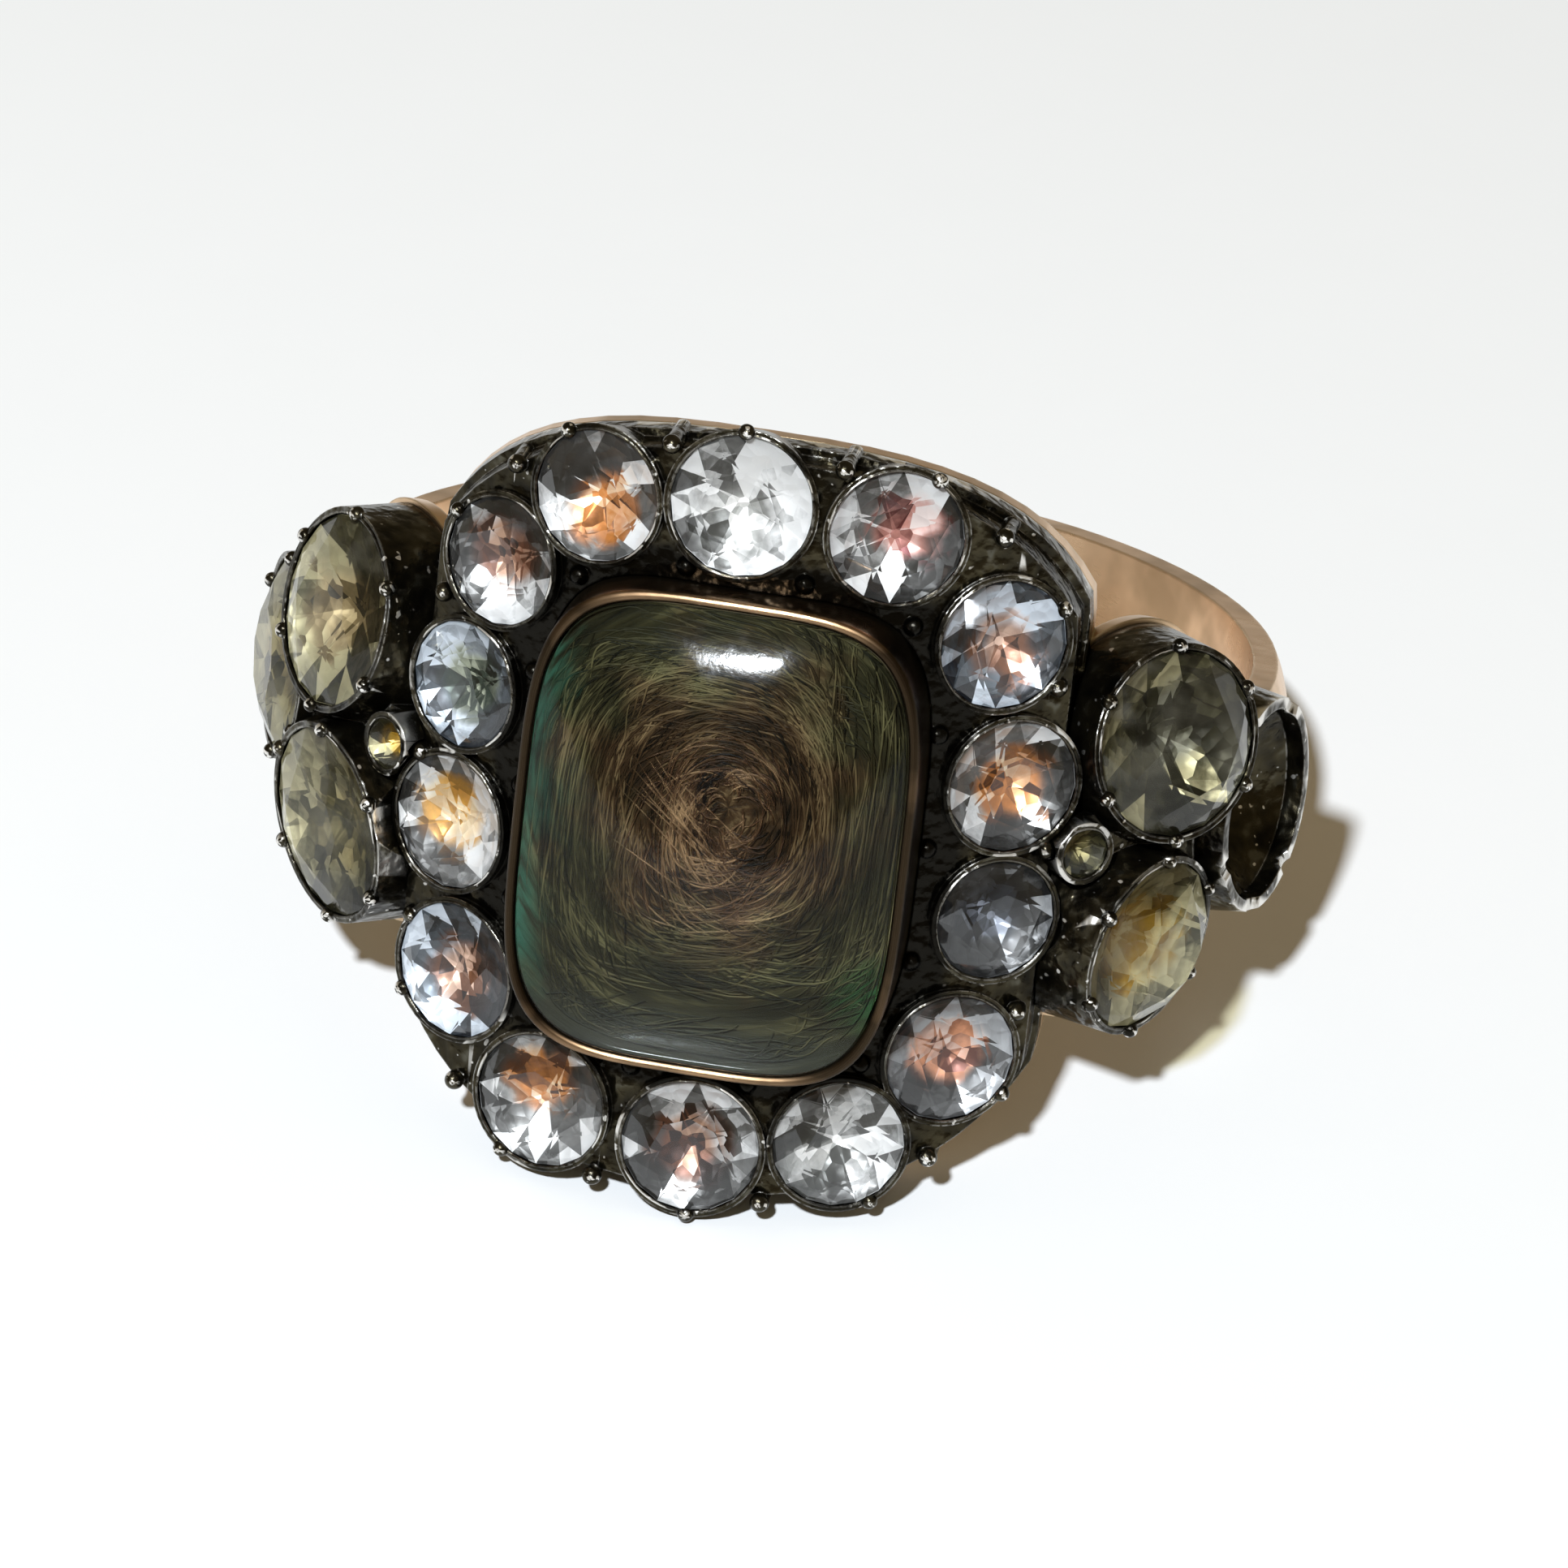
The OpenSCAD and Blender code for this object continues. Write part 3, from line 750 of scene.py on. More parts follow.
@dataclass(frozen=True)
class Posture:
    """How the upright ring, with the finger along Z and the head towards -Y, lies down."""

    centre: Vector
    tilt: float

    @classmethod
    def from_record(cls, record: Mapping[str, Any]) -> Posture:
        """Reads where the finger hole lies."""
        bore = next(m for m in record["mounts"] if m["name"] == "finger_bore")
        return cls(Vector(bore["pos_m"]), math.atan2(bore["axis"][1], bore["axis"][2]))

    def lay(self) -> Matrix:
        """Gives the transform that lays the upright ring down."""
        return Matrix.Translation(self.centre) @ Matrix.Rotation(-self.tilt, 4, "X")

    def upright_box(self, node: str) -> tuple[Vector, Vector]:
        """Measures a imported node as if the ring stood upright.

        Args:
            node: The node's name.

        Returns:
            Its lowest and highest corner.
        """
        back = self.lay().inverted()
        points = np.array([back @ v.co for v in bpy.data.objects[node].data.vertices])
        return Vector(points.min(axis=0)), Vector(points.max(axis=0))


@dataclass(frozen=True)
class GemPlace:
    """Where a cut stone sits: the middle of its girdle, its axis and its girdle's radius."""

    centre: Vector
    axis: Vector
    radius: float

    @classmethod
    def of_node(cls, node: str, finger: Vector) -> GemPlace:
        """Measures a packed stone.

        Args:
            node: The stone's name.
            finger: A point on the finger's axis, which the stone faces away from.

        Returns:
            The stone's place.
        """
        corners = {tuple(round(c, 7) for c in v.co) for v in bpy.data.objects[node].data.vertices}
        points = np.array(sorted(corners))
        middle = points.mean(axis=0)
        axis = np.linalg.eigh(np.cov((points - middle).T))[1][:, 0]
        if axis @ (middle - np.array(finger)) < 0:
            axis = -axis
        out = points - middle
        across = np.linalg.norm(out - np.outer(out @ axis, axis), axis=1)
        girdle = points[across > across.max() * 0.99]
        centre = girdle.mean(axis=0)
        return cls(Vector(centre), Vector(axis), float(across.max()))

    def stand(self, rise_mm: float = 0.0) -> Matrix:
        """Gives the transform that stands a thing on the girdle's middle, Z out of the setting."""
        turn = self.axis.to_track_quat("Z", "Y").to_matrix().to_4x4()
        return Matrix.Translation(self.centre + self.axis * rise_mm * MM) @ turn


class Workpiece:
    """A mesh on the bench that becomes one named piece of the ring."""

    def __init__(self, name: str) -> None:
        """Starts an empty mesh."""
        self.name = name
        self.bm = bmesh.new()

    def lathe(self, profile: Sequence[tuple[float, float]], steps: int, closed: bool) -> None:
        """Spins a profile of radii and heights round Z.

        Args:
            profile: The points of the profile.
            steps: Steps of the full turn.
            closed: Whether the profile's last point joins its first.
        """
        verts = [self.bm.verts.new((r, 0.0, h)) for r, h in profile]
        ends = verts[1:] + verts[:1] if closed else verts[1:]
        edges = [self.bm.edges.new(pair) for pair in zip(verts, ends)]
        bmesh.ops.spin(
            self.bm,
            geom=verts + edges,
            cent=(0.0, 0.0, 0.0),
            axis=(0.0, 0.0, 1.0),
            angle=math.tau,
            steps=steps,
            use_merge=True,
        )
        self.clean()

    def clean(self) -> None:
        """Merges doubles and turns the faces outwards."""
        bmesh.ops.remove_doubles(self.bm, verts=self.bm.verts, dist=1e-7)
        bmesh.ops.recalc_face_normals(self.bm, faces=self.bm.faces)

    def finish(
        self,
        material: bpy.types.Material,
        slot: str,
        replaces: Sequence[str] = (),
        smooth: bool = True,
    ) -> bpy.types.Object:
        """Makes the mesh an object of the ring.

        Args:
            material: Its finish.
            slot: The record's material slot that the finish belongs to.
            replaces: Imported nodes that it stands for.
            smooth: Whether its faces are shaded smooth.

        Returns:
            The object.
        """
        mesh = bpy.data.meshes.new(self.name)
        self.bm.to_mesh(mesh)
        self.bm.free()
        mesh.polygons.foreach_set("use_smooth", [smooth] * len(mesh.polygons))
        return settle(self.name, mesh, material, slot, replaces)


def coat(mesh: bpy.types.Mesh, material: bpy.types.Material) -> None:
    """Gives a mesh one finish."""
    mesh.materials.clear()
    mesh.materials.append(material)


def add_object(name: str, data: Any) -> bpy.types.Object:
    """Links a new object into the scene.

    Args:
        name: Its name.
        data: Its mesh, curve, light or camera.

    Returns:
        The object.
    """
    thing = bpy.data.objects.new(name, data)
    bpy.context.scene.collection.objects.link(thing)
    return thing


def settle(
    name: str,
    mesh: bpy.types.Mesh,
    material: bpy.types.Material,
    slot: str,
    replaces: Sequence[str] = (),
) -> bpy.types.Object:
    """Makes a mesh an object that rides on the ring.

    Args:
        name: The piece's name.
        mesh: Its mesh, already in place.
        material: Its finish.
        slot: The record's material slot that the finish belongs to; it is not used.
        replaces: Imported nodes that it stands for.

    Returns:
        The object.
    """
    coat(mesh, material)
    piece = add_object(name, mesh)
    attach(piece, BODY)
    if replaces:
        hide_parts(*replaces)
    log.info("%s: %d faces", name, len(mesh.polygons))
    return piece


def dress(node: str, material: bpy.types.Material) -> None:
    """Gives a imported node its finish."""
    coat(bpy.data.objects[node].data, material)
    log.info("%s: dressed in %s", node, material.name)


# Pieces


@dataclass(frozen=True)
class Band:
    """The gold hoop and the plates behind the settings."""

    finish: RoseGold = RoseGold("band_gold")

    def build(self) -> None:
        """Dresses the band."""
        dress("band", self.finish.material())


@dataclass(frozen=True)
class Cushion:
    """A cushion-shaped outline that grows rounder towards its middle."""

    half_w: float
    half_h: float
    square: float

    def at(self, share: float, angle: float) -> tuple[float, float]:
        """Finds a point of the cushion.

        Args:
            share: How far out it lies, from 0 at the middle to 1 on the outline.
            angle: The angle round the middle.

        Returns:
            Its place across and along the finger.
        """
        square = 2 + (self.square - 2) * share**2
        c, s = math.cos(angle), math.sin(angle)
        across = math.copysign(abs(c) ** (2 / square), c)
        along = math.copysign(abs(s) ** (2 / square), s)
        return self.half_w * share * across, self.half_h * share * along


@dataclass(frozen=True)
class Button:
    """A cushion with a straight edge and a domed face, as the crystal and the hair's pad are."""

    outline: Cushion
    base: float
    top: float
    edge: float
    flatness: float

    def front(self, share: float) -> float:
        """Gives how far in front of the finger's axis the face lies, at a share of the way out."""
        dome = self.top - self.base - self.edge
        return self.base + self.edge + dome * (1 - share**self.flatness)


@dataclass
class HairSwirl:
    """The loose hair, laid on the pad lock by lock round the curl, with a few strays across it.

    The reach is how near the curl's middle and how near the outline a strand may come, in shares
    of the way out.
    """

    posture: Posture
    pad: Button
    locks: int = 90
    lock_strands: int = 22
    strays: int = 16
    strand_r: float = 0.024 * MM
    strand_steps: int = 10
    reach: tuple[float, float] = (0.03, 0.95)
    seed: int = 11

    def __post_init__(self) -> None:
        """Starts with no strands."""
        self.draw = random.Random(self.seed)
        self.tones: list[float] = []
        self.curve = bpy.data.curves.new("hair_swirl", "CURVE")
        self.curve.dimensions = "3D"
        self.curve.bevel_depth = self.strand_r
        self.curve.bevel_resolution = 0
        self.curve.use_fill_caps = True

    def build(self) -> None:
        """Lays the strands and dresses them."""
        for _ in range(self.locks):
            self._lock()
        for _ in range(self.strays):
            self._stray()
        hair = Hair("curled_hair", self.posture, loose=True)
        settle("hair_swirl", self._mesh(), hair.material(), "hair")

    def _lock(self) -> None:
        """Lays one lock of strands that run side by side."""
        share = 0.08 + 0.86 * self.draw.random() ** 0.8
        start = self.draw.uniform(0.0, math.tau)
        sweep = self.draw.uniform(0.7, 1.9) * (1.35 - share)
        drift = self.draw.uniform(-0.10, 0.20)
        tone = self.draw.random()
        for _ in range(self.lock_strands):
            self._strand(
                share + self.draw.gauss(0.0, 0.035),
                start + self.draw.gauss(0.0, 0.20),
                sweep * self.draw.uniform(0.6, 1.1),
                drift + self.draw.gauss(0.0, 0.03),
            )
            self.tones.append(min(1.0, 0.62 * tone + 0.42 * self.draw.random()))

    def _strand(self, share: float, start: float, sweep: float, drift: float) -> None:
        """Lays one curled strand.

        Args:
            share: How far out it starts.
            start: The angle at which it starts.
            sweep: The angle that it runs through.
            drift: How far outwards it wanders.
        """
        lift = self.draw.uniform(-0.01, 0.06) * MM
        wave = self.draw.uniform(0.0, math.tau)
        nearest, farthest = self.reach
        for t, point in self._new_strand(0.7):
            out = share + drift * t + 0.016 * math.sin(wave + 5 * t)
            out = min(farthest, max(nearest, out))
            across, along = self.pad.outline.at(out, start + sweep * t)
            across += CURL_HEART[0] * MM * (1 - out) ** 1.3
            along += CURL_HEART[1] * MM * (1 - out) ** 1.3
            point.co = self._on_pad(across, along, lift)

    def _stray(self) -> None:
        """Lays one light strand that runs nearly straight across the curl."""
        first = Vector((self.draw.gauss(-1.35, 0.30), self.draw.gauss(0.85, 0.40)))
        last = Vector((self.draw.gauss(0.35, 0.35), self.draw.gauss(-0.75, 0.35)))
        bow = self.draw.uniform(-0.18, 0.18)
        side = Vector((last.y - first.y, first.x - last.x))
        for t, point in self._new_strand(0.5):
            here = (first.lerp(last, t) + side * bow * t * (1 - t)) * MM
            point.co = self._on_pad(here.x, here.y, 0.06 * MM)
        self.tones.append(self.draw.uniform(0.55, 0.9))

    def _new_strand(self, swell: float) -> Iterator[tuple[float, bpy.types.SplinePoint]]:
        """Adds a strand that is thin at its ends.

        Args:
            swell: How much thicker its middle is.

        Yields:
            The share of the way along it, and the point that is to be placed there.
        """
        spline = self.curve.splines.new("POLY")
        spline.points.add(self.strand_steps - 1)
        for k, point in enumerate(spline.points):
            t = k / (self.strand_steps - 1)
            point.radius = 0.3 + swell * math.sin(math.pi * (0.06 + 0.88 * t))
            yield t, point

    def _on_pad(self, across: float, along: float, lift: float) -> tuple[float, ...]:
        """Finds a point on the pad's domed face.

        Args:
            across: Its place across the finger.
            along: Its place along the finger.
            lift: How far it lies in front of the face.

        Returns:
            The point, with the weight that a curve's point has.
        """
        x, z = across / self.pad.outline.half_w, along / self.pad.outline.half_h
        share = min(1.0, (max(abs(x), abs(z)) + math.hypot(x, z)) / 2)
        front = self.pad.front(share) + lift
        return (*(self.posture.lay() @ Vector((across, -front, along))), 1.0)

    def _mesh(self) -> bpy.types.Mesh:
        """Turns the strands into a mesh.

        Returns:
            The mesh, which carries the tone of each strand.
        """
        holder = add_object("hair_swirl_curve", self.curve)
        shown = holder.evaluated_get(bpy.context.evaluated_depsgraph_get())
        mesh = bpy.data.meshes.new_from_object(shown)
        bpy.data.objects.remove(holder)
        each = len(mesh.vertices) // len(self.tones)
        attribute = mesh.attributes.new("tone", "FLOAT", "POINT")
        attribute.data.foreach_set("value", np.repeat(np.array(self.tones, np.float32), each))
        mesh.polygons.foreach_set("use_smooth", [True] * len(mesh.polygons))
        return mesh


@dataclass(frozen=True)
class HairCompartment:
    """The domed crystal in its gold collar, with a swirl of hair under it.

    The back of the crystal and of the pad is flat out to the back share of the outline, and turns
    up into the straight edge over the turn share of that edge's height.
    """

    posture: Posture
    square: float = 4.0
    steps: int = 96
    dome_steps: int = 18
    back_share: float = 0.985
    turn_share: float = 0.15
    crystal_edge: float = 0.3 * MM
    crystal_flatness: float = 2.6
    crystal_gap: float = 0.03 * MM
    collar_rim_steps: int = 8
    hair_edge: float = 0.3 * MM
    hair_flatness: float = 2.0

    def build(self) -> None:
        """Makes the crystal, the collar and the hair."""
        self._crystal()
        self._collar()
        self._hair()

    def _measure(self, node: str, edge: float, flatness: float) -> Button:
        """Measures a packed button.

        Args:
            node: Its name.
            edge: The height of its straight edge.
            flatness: How flat its face is at the middle, where 2 is even all over.

        Returns:
            Its form.
        """
        low, high = self.posture.upright_box(node)
        outline = Cushion(high.x, high.z, self.square)
        return Button(outline, -high.y, -low.y, edge, flatness)

    def _button(self, name: str, form: Button) -> Workpiece:
        """Makes a button.

        Args:
            name: The piece's name.
            form: Its form.

        Returns:
            The piece.
        """
        profile = [(0.0, 0.0), (0.5, 0.0), (self.back_share, 0.0)]
        profile.append((1.0, form.edge * self.turn_share))
        for k in range(self.dome_steps + 1):
            share = math.cos(math.pi / 2 * k / self.dome_steps)
            profile.append((share, form.front(share) - form.base))
        piece = Workpiece(name)
        piece.lathe(profile, self.steps, closed=False)
        lay = self.posture.lay()
        for v in piece.bm.verts:
            share = min(1.0, math.hypot(v.co.x, v.co.y))
            x, z = form.outline.at(share, math.atan2(v.co.y, v.co.x))
            v.co = lay @ Vector((x, -form.base - v.co.z, z))
        piece.clean()
        return piece

    def _crystal(self) -> None:
        """Makes the crystal."""
        form = self._measure("crystal", self.crystal_edge, self.crystal_flatness)
        piece = self._button("domed_crystal", form)
        piece.finish(Crystal().material(), "crystal", ["crystal"])

    def _collar(self) -> None:
        """Makes the collar, whose foot follows the curved plate and whose rim is rounded."""
        low, high = self.posture.upright_box("hair_collar")
        top = -low.y
        foot_r = math.hypot(high.x, high.y)
        outline = Cushion(high.x, high.z, self.square)
        wall = high.x - self.posture.upright_box("crystal")[1].x - self.crystal_gap
        profile = [(1.0, 0.0)]
        for k in range(self.collar_rim_steps + 1):
            angle = math.pi * k / self.collar_rim_steps
            inwards = wall * (1 - math.cos(angle)) / 2
            profile.append((1.0 - inwards, 1.0 + wall / 2 * math.sin(angle)))
        profile.append((1.0 - wall, 0.0))
        piece = Workpiece("collar_wall")
        piece.lathe(profile, self.steps, closed=True)
        lay = self.posture.lay()
        for v in piece.bm.verts:
            inwards = 1.0 - math.hypot(v.co.x, v.co.y)
            inner = Cushion(outline.half_w - inwards, outline.half_h - inwards, self.square)
            x, z = inner.at(1.0, math.atan2(v.co.y, v.co.x))
            foot = math.sqrt(max(0.0, foot_r**2 - x**2))
            climb = min(1.0, v.co.z)
            front = foot + (top - wall / 2 - foot) * climb + max(0.0, v.co.z - 1.0)
            v.co = lay @ Vector((x, -front, z))
        piece.clean()
        gold = RoseGold(
            "collar_gold",
            metal=(0.50, 0.31, 0.17),
            film_and_side_shade=(0.030, 0.018, 0.010),
            film_share=0.9,
            rough=0.13,
            posture=self.posture,
        )
        piece.finish(gold.material(), "rose_gold", ["hair_collar"])

    def _hair(self) -> None:
        """Makes the pad and lays the loose hair on it."""
        pad = self._measure("hair_pad", self.hair_edge, self.hair_flatness)
        piece = self._button("hair_ground", pad)
        piece.finish(Hair("hair_ground", self.posture).material(), "hair", ["hair_pad"])
        HairSwirl(self.posture, pad).build()


@dataclass(frozen=True)
class StoneSetting:
    """One cut stone with the foil behind it and the worn rim of its setting.

    The heart is the middle of the foil's inner tones, in shares of the radius to the right and
    upwards, and the lean is the angle of its bright side, anticlockwise from the right. The rim is
    half the thickness of the rubbed silver, in millimetres.
    """

    node: str
    glint: Glint
    bright: float = 0.0
    lean: float = 90.0
    heart: tuple[float, float] = (0.0, 0.0)
    rim: float = 0.034
    rim_stand: float = 0.55
    rim_rise_mm: float = 0.07
    rim_shift_mm: float = 0.03
    rim_swell: float = 0.5
    rim_lumps: float = 2.2
    rim_sides: int = 8
    rim_steps: int = 56
    foil_drop_mm: float = 0.02
    foil_gap_mm: float = 0.012
    foil_shrink: float = 0.012
    foil_mm: float = 0.006
    facet_tones: tuple[float, ...] = (0.0, 0.12, 0.35, 0.9)

    def build(self, finger: Vector, glass: bpy.types.Material, silver: bpy.types.Material) -> None:
        """Dresses the stone and adds its foil and rim.

        Args:
            finger: A point on the finger's axis.
            glass: The stone's finish.
            silver: The rim's finish.
        """
        place = GemPlace.of_node(self.node, finger)
        dress(self.node, glass)
        self._foil(place)
        self._rim(place, silver)

    def _foil(self, place: GemPlace) -> None:
        """Makes the foil, bonded to the stone, from the stone's own back facets.

        Args:
            place: Where the stone sits.
        """
        draw = random.Random(self.node)
        piece = Workpiece(f"{self.node}_foil")
        bm = piece.bm
        bm.from_mesh(bpy.data.objects[self.node].data)
        bmesh.ops.remove_doubles(bm, verts=bm.verts, dist=1e-6)
        bmesh.ops.dissolve_limit(
            bm, angle_limit=math.radians(1.0), verts=bm.verts, edges=bm.edges
        )
        geom = bm.verts[:] + bm.edges[:] + bm.faces[:]
        bmesh.ops.bisect_plane(
            bm,
            geom=geom,
            dist=1e-7,
            plane_co=place.centre - place.axis * self.foil_drop_mm * MM,
            plane_no=place.axis,
            clear_outer=True,
        )
        tone = bm.faces.layers.float.new("tone")
        away = bm.verts.layers.float.new("away")
        face_on = place.stand().inverted()
        lean = Vector((math.cos(math.radians(self.lean)), math.sin(math.radians(self.lean))))
        for face in bm.faces:
            side = (face_on @ face.calc_center_median()).xy / place.radius
            value = draw.choice(self.facet_tones) + self.bright + 0.5 * side.dot(lean)
            face[tone] = min(1.0, max(0.0, value))
        gap = self.foil_gap_mm * MM
        for v in bm.verts:
            v[away] = ((face_on @ v.co).xy / place.radius - Vector(self.heart)).length
            out = v.co - place.centre
            across = out - place.axis * out.dot(place.axis)
            v.co += place.axis * gap - across * self.foil_shrink
        bmesh.ops.recalc_face_normals(bm, faces=bm.faces)
        bmesh.ops.solidify(bm, geom=bm.faces[:], thickness=self.foil_mm * MM)
        piece.finish(self.glint.material(), "oxidised_silver", smooth=False)

    def _rim(self, place: GemPlace, silver: bpy.types.Material) -> None:
        """Makes the uneven edge of silver that is rubbed over the stone.

        Args:
            place: Where the stone sits.
            silver: The edge's finish.
        """
        piece = Workpiece(f"{self.node}_rim")
        around = place.radius + self.rim * self.rim_stand * MM
        profile = [
            (around + self.rim * MM * math.cos(a), self.rim * MM * math.sin(a))
            for a in (math.tau * k / self.rim_sides for k in range(self.rim_sides))
        ]
        piece.lathe(profile, self.rim_steps, closed=True)
        stand = place.stand(self.rim_rise_mm)
        seed = place.centre / MM * 3
        for v in piece.bm.verts:
            angle = math.atan2(v.co.y, v.co.x)
            way = Vector((math.cos(angle), math.sin(angle), 0.0))
            spot = way * self.rim_lumps + seed
            swell = 1.0 + self.rim_swell * noise.noise(spot)
            shift = self.rim_shift_mm * MM * noise.noise(spot + Vector((7.0, 0.0, 0.0)))
            ring = way * around
            v.co = stand @ (ring + (v.co - ring) * swell + Vector((0.0, 0.0, shift)))
        piece.clean()
        piece.finish(silver, "oxidised_silver")


# The glint, brightness, lean and heart of the halo's stones, clockwise from the top middle
HALO_GLINTS = (
    (Glint.WHITE, 0.5, -20.0, (-0.15, -0.30)),
    (Glint.ROSE, 0.05, 150.0, (0.22, 0.10)),
    (Glint.UMBER, 0.05, 120.0, (0.10, -0.15)),
    (Glint.AMBER, -0.08, 100.0, (0.08, -0.05)),
    (Glint.SMOKE, -0.25, -60.0, (0.0, 0.0)),
    (Glint.BLUSH, 0.0, 0.0, (0.0, 0.05)),
    (Glint.WHITE, 0.12, 20.0, (-0.30, -0.35)),
    (Glint.BROWN, 0.05, 60.0, (-0.05, -0.05)),
    (Glint.AMBER, -0.05, -50.0, (-0.10, 0.30)),
    (Glint.UMBER, 0.05, 200.0, (0.05, -0.10)),
    (Glint.GOLD, 0.30, 30.0, (-0.10, 0.05)),
    (Glint.GREEN, 0.05, 110.0, (0.0, 0.0)),
    (Glint.BROWN, 0.0, -45.0, (-0.10, 0.10)),
    (Glint.AMBER, -0.10, -45.0, (0.05, -0.20)),
)


@dataclass(frozen=True)
class Halo:
    """The silver head and its fourteen stones."""

    finger: Vector
    stones: tuple[StoneSetting, ...] = tuple(
        StoneSetting(f"halo_stone_{number:02}", *row) for number, row in enumerate(HALO_GLINTS, 1)
    )

    def build(self, silver: bpy.types.Material, head_silver: bpy.types.Material) -> None:
        """Dresses the head and sets its stones.

        Args:
            silver: The finish of the stones' rims.
            head_silver: The finish of the head.
        """
        dress("head_setting", head_silver)
        glass = Paste(
            "white_paste",
            tint=(0.97, 0.97, 0.97),
            cloud_tint=(0.3, 0.3, 0.3),
            clouding=0.05,
            haze=0.10,
        )
        material = glass.material()
        for stone in self.stones:
            stone.build(self.finger, material, silver)


@dataclass(frozen=True)
class Shoulders:
    """The two trefoils of larger, clouded stones."""

    finger: Vector
    stones: tuple[StoneSetting, ...] = (
        StoneSetting("left_stone_upper", Glint.BEIGE, 0.05, 215.0, (-0.15, -0.10)),
        StoneSetting("left_stone_lower", Glint.OLIVE, 0.3, 160.0, (0.1, -0.1)),
        StoneSetting("left_stone_outer", Glint.OLIVE, 0.2, 180.0, (0.0, 0.0)),
        StoneSetting("left_stone_small", Glint.HONEY, 0.10, 90.0, (0.0, 0.0), 0.03),
        StoneSetting("right_stone_upper", Glint.MURK, -0.05, 130.0, (0.15, 0.10)),
        StoneSetting("right_stone_lower", Glint.HONEY, 0.2, -25.0, (0.05, -0.05)),
        StoneSetting("right_stone_small", Glint.OLIVE, 0.10, 90.0, (0.0, 0.0), 0.03),
    )

    def build(self, silver: bpy.types.Material) -> None:
        """Dresses the shoulders and sets their stones.

        Args:
            silver: The finish of the settings and of the stones' rims.
        """
        for node in ("left_shoulder_setting", "right_shoulder_setting"):
            dress(node, silver)
        glass = Paste(
            "cloudy_paste",
            tint=(0.80, 0.77, 0.63),
            cloud_tint=(0.14, 0.13, 0.095),
            clouding=0.30,
            haze=0.16,
            bend=1.3,
        )
        material = glass.material()
        for stone in self.stones:
            stone.build(self.finger, material, silver)


def way_to(azimuth: float, elevation: float) -> Vector:
    """Gives the direction from the ring to a place round it, from two angles in degrees."""
    a, e = math.radians(azimuth), math.radians(elevation)
    return Vector((math.sin(a) * math.cos(e), -math.cos(a) * math.cos(e), math.sin(e)))


@dataclass(frozen=True)
class Softbox:
    """The round area light that faces the ring.

    The bounces are how often its light is followed on. Two let it fall once on what lies under
    glass.
    """

    azimuth: float = -8.0
    elevation: float = 50.0
    distance_mm: float = 420.0
    size_mm: float = 26.0
    watts: float = 2.35
    colour: Colour = (0.88, 0.94, 1.0)
    bounces: int = 2

    def build(self) -> None:
        """Adds the light."""
        light = bpy.data.lights.new("key", "AREA")
        light.shape = "DISK"
        light.size = self.size_mm * MM
        light.energy = self.watts
        light.color = self.colour
        light.cycles.max_bounces = self.bounces
        lamp = add_object("key", light)
        back = way_to(self.azimuth, self.elevation)
        lamp.location = back * self.distance_mm * MM
        lamp.rotation_euler = back.to_track_quat("Z", "Y").to_euler()


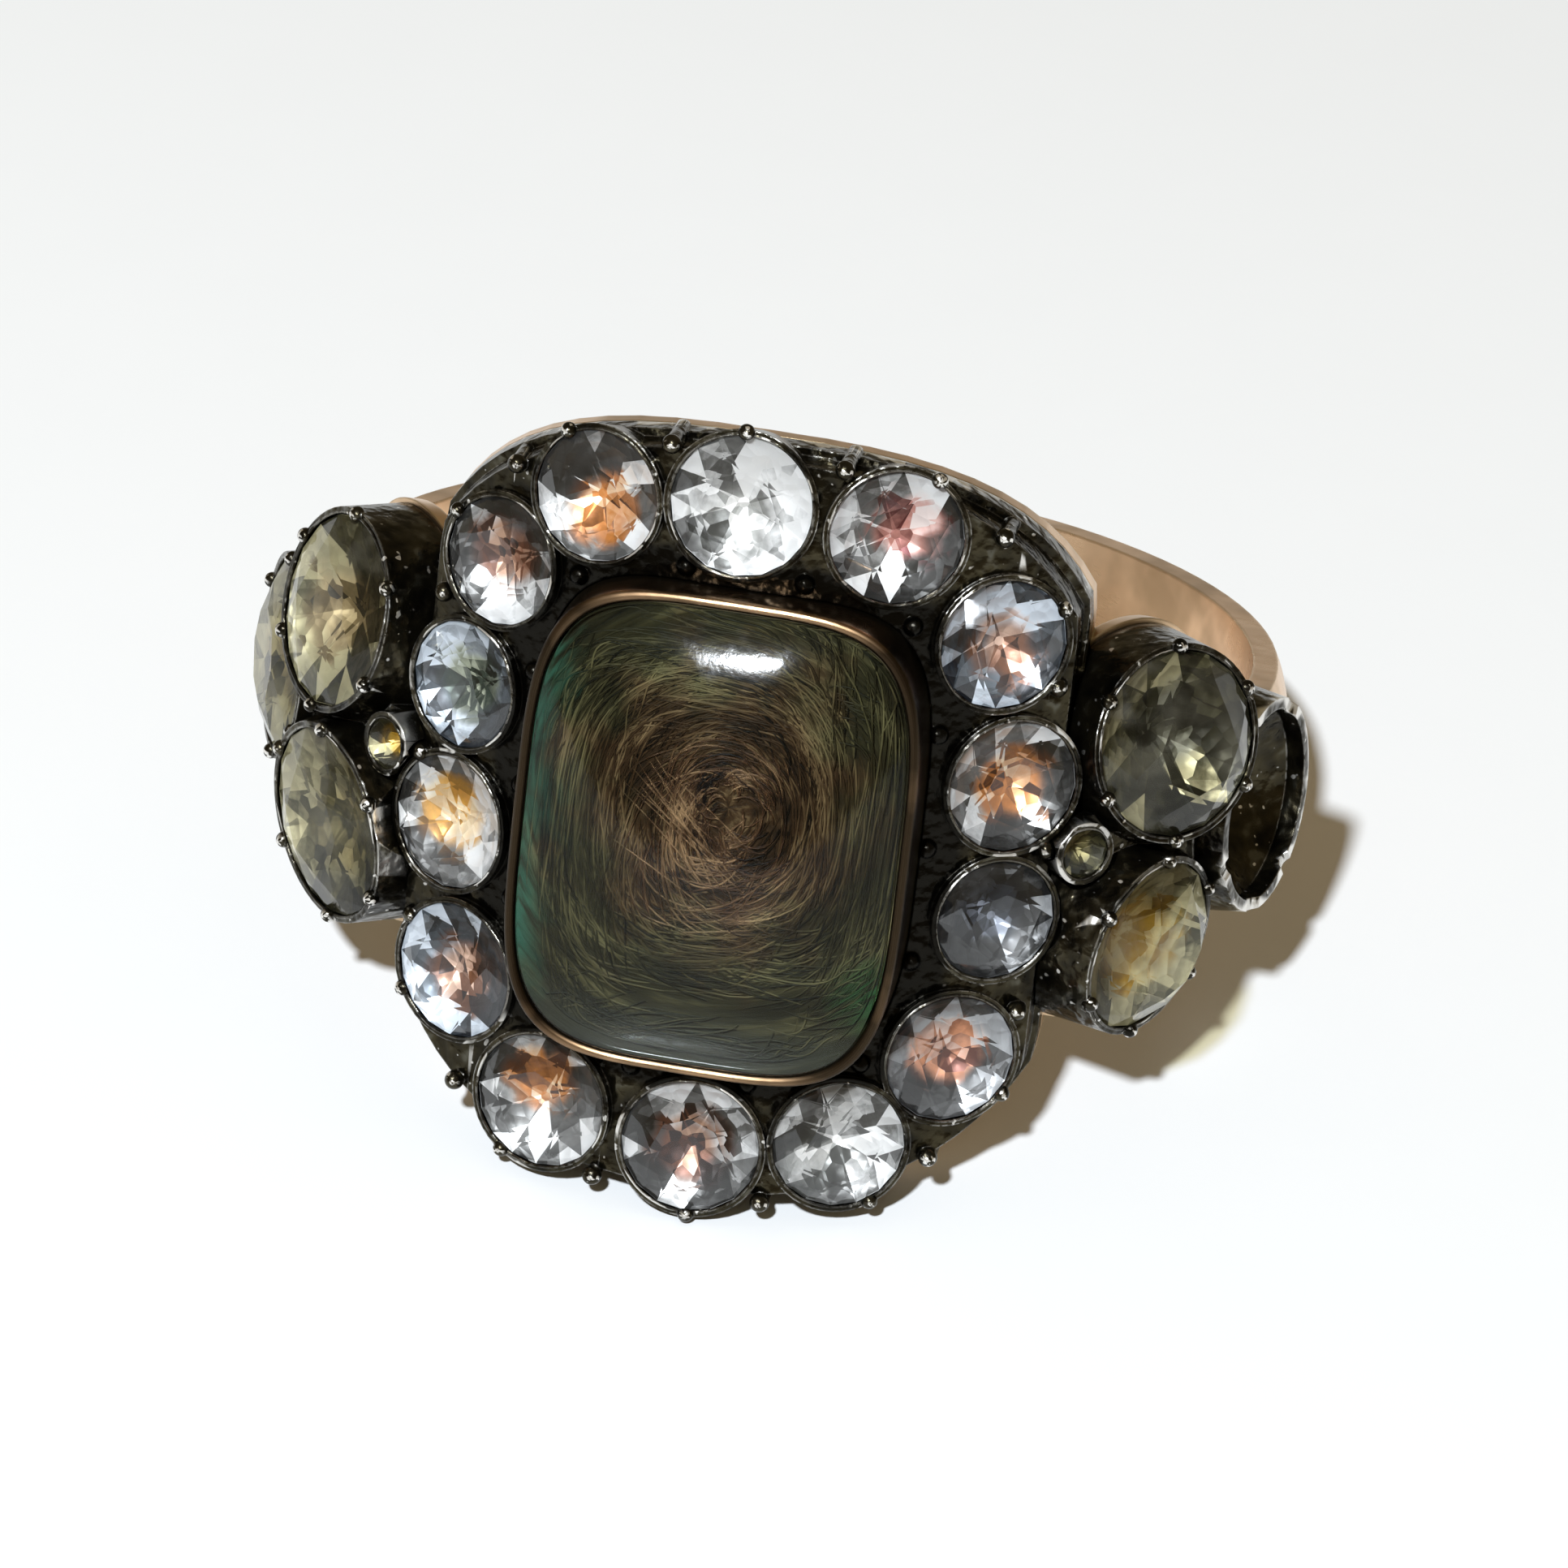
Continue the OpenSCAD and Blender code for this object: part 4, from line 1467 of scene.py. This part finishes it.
@dataclass(frozen=True)
class Studio:
    """The pale floor, the dim room, the one light and the camera.

    The camera's angles are measured from the upright ring's face. The middle of the finger hole
    lies finger_right_px to the right of the picture's middle and finger_up_px above it.
    """

    posture: Posture
    azimuth: float = 7.08
    elevation: float = 17.80
    roll: float = 6.66
    distance: float = 150 * MM
    pixels_per_mm: float = 60.77
    frame_px: float = 1932
    finger_right_px: float = 24.4
    finger_up_px: float = 140.9
    sensor_mm: float = 36.0
    nearest: float = 10 * MM
    floor_half: float = 600 * MM
    room: Colour = (0.22, 0.175, 0.105)

    def build(self) -> None:
        """Sets up the floor, the light and the camera."""
        self._floor()
        self._sky()
        Softbox().build()
        self._camera()
        bpy.context.scene.view_settings.view_transform = "Standard"

    def _floor(self) -> None:
        """Lays the floor under the ring."""
        bm = bmesh.new()
        bmesh.ops.create_grid(bm, x_segments=8, y_segments=8, size=self.floor_half)
        mesh = bpy.data.meshes.new("floor")
        bm.to_mesh(mesh)
        bm.free()
        coat(mesh, PaleBoard().material())
        add_object("floor", mesh)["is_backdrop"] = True

    def _sky(self) -> None:
        """Gives the room its dim warm light."""
        world = bpy.data.worlds.new("room")
        world.use_nodes = True
        background = world.node_tree.nodes["Background"]
        background.inputs["Color"].default_value = (*self.room, 1.0)
        background.inputs["Strength"].default_value = 1.0
        bpy.context.scene.world = world

    def _camera(self) -> None:
        """Points the camera as the photograph was taken."""
        a, r = math.radians(self.azimuth), math.radians(self.roll)
        turn = self.posture.lay().to_3x3()
        back = way_to(self.azimuth, self.elevation)
        side = Vector((math.cos(a), math.sin(a), 0.0))
        up = back.cross(side)
        right = turn @ (side * math.cos(r) + up * math.sin(r))
        above = turn @ (up * math.cos(r) - side * math.sin(r))
        spot = self.posture.centre + turn @ back * self.distance
        scale = MM / self.pixels_per_mm
        aim = self.posture.centre - right * self.finger_right_px * scale
        aim -= above * self.finger_up_px * scale
        away = (spot - aim).normalized()
        right = above.cross(away).normalized()
        above = away.cross(right)
        lens = bpy.data.cameras.new("camera")
        lens.sensor_width = self.sensor_mm
        lens.lens = self.sensor_mm * self.pixels_per_mm * (self.distance / MM) / self.frame_px
        lens.clip_start = self.nearest
        camera = add_object("camera", lens)
        turned = Matrix((right, above, away)).transposed().to_4x4()
        camera.matrix_world = Matrix.Translation(spot) @ turned
        bpy.context.scene.camera = camera


def corners(box: tuple[Vector, Vector]) -> list[list[float]]:
    """Turns a box into plain lists."""
    return [list(corner) for corner in box]


def main() -> None:
    """Builds the ring's dressed pieces and the studio round them."""
    logging.basicConfig(level=logging.INFO, format="%(name)s: %(message)s")
    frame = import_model()
    packed = corners(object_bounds())
    posture = Posture.from_record(frame["record"])
    silver = OxidisedSilver("oxidised_silver").material()
    head_silver = OxidisedSilver("head_silver", posture=posture).material()
    Band().build()
    HairCompartment(posture).build()
    Halo(posture.centre).build(silver, head_silver)
    Shoulders(posture.centre).build(silver)
    Studio(posture).build()
    {"packed": packed, "dressed": corners(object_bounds())}


if __name__ == "__main__":
    main()
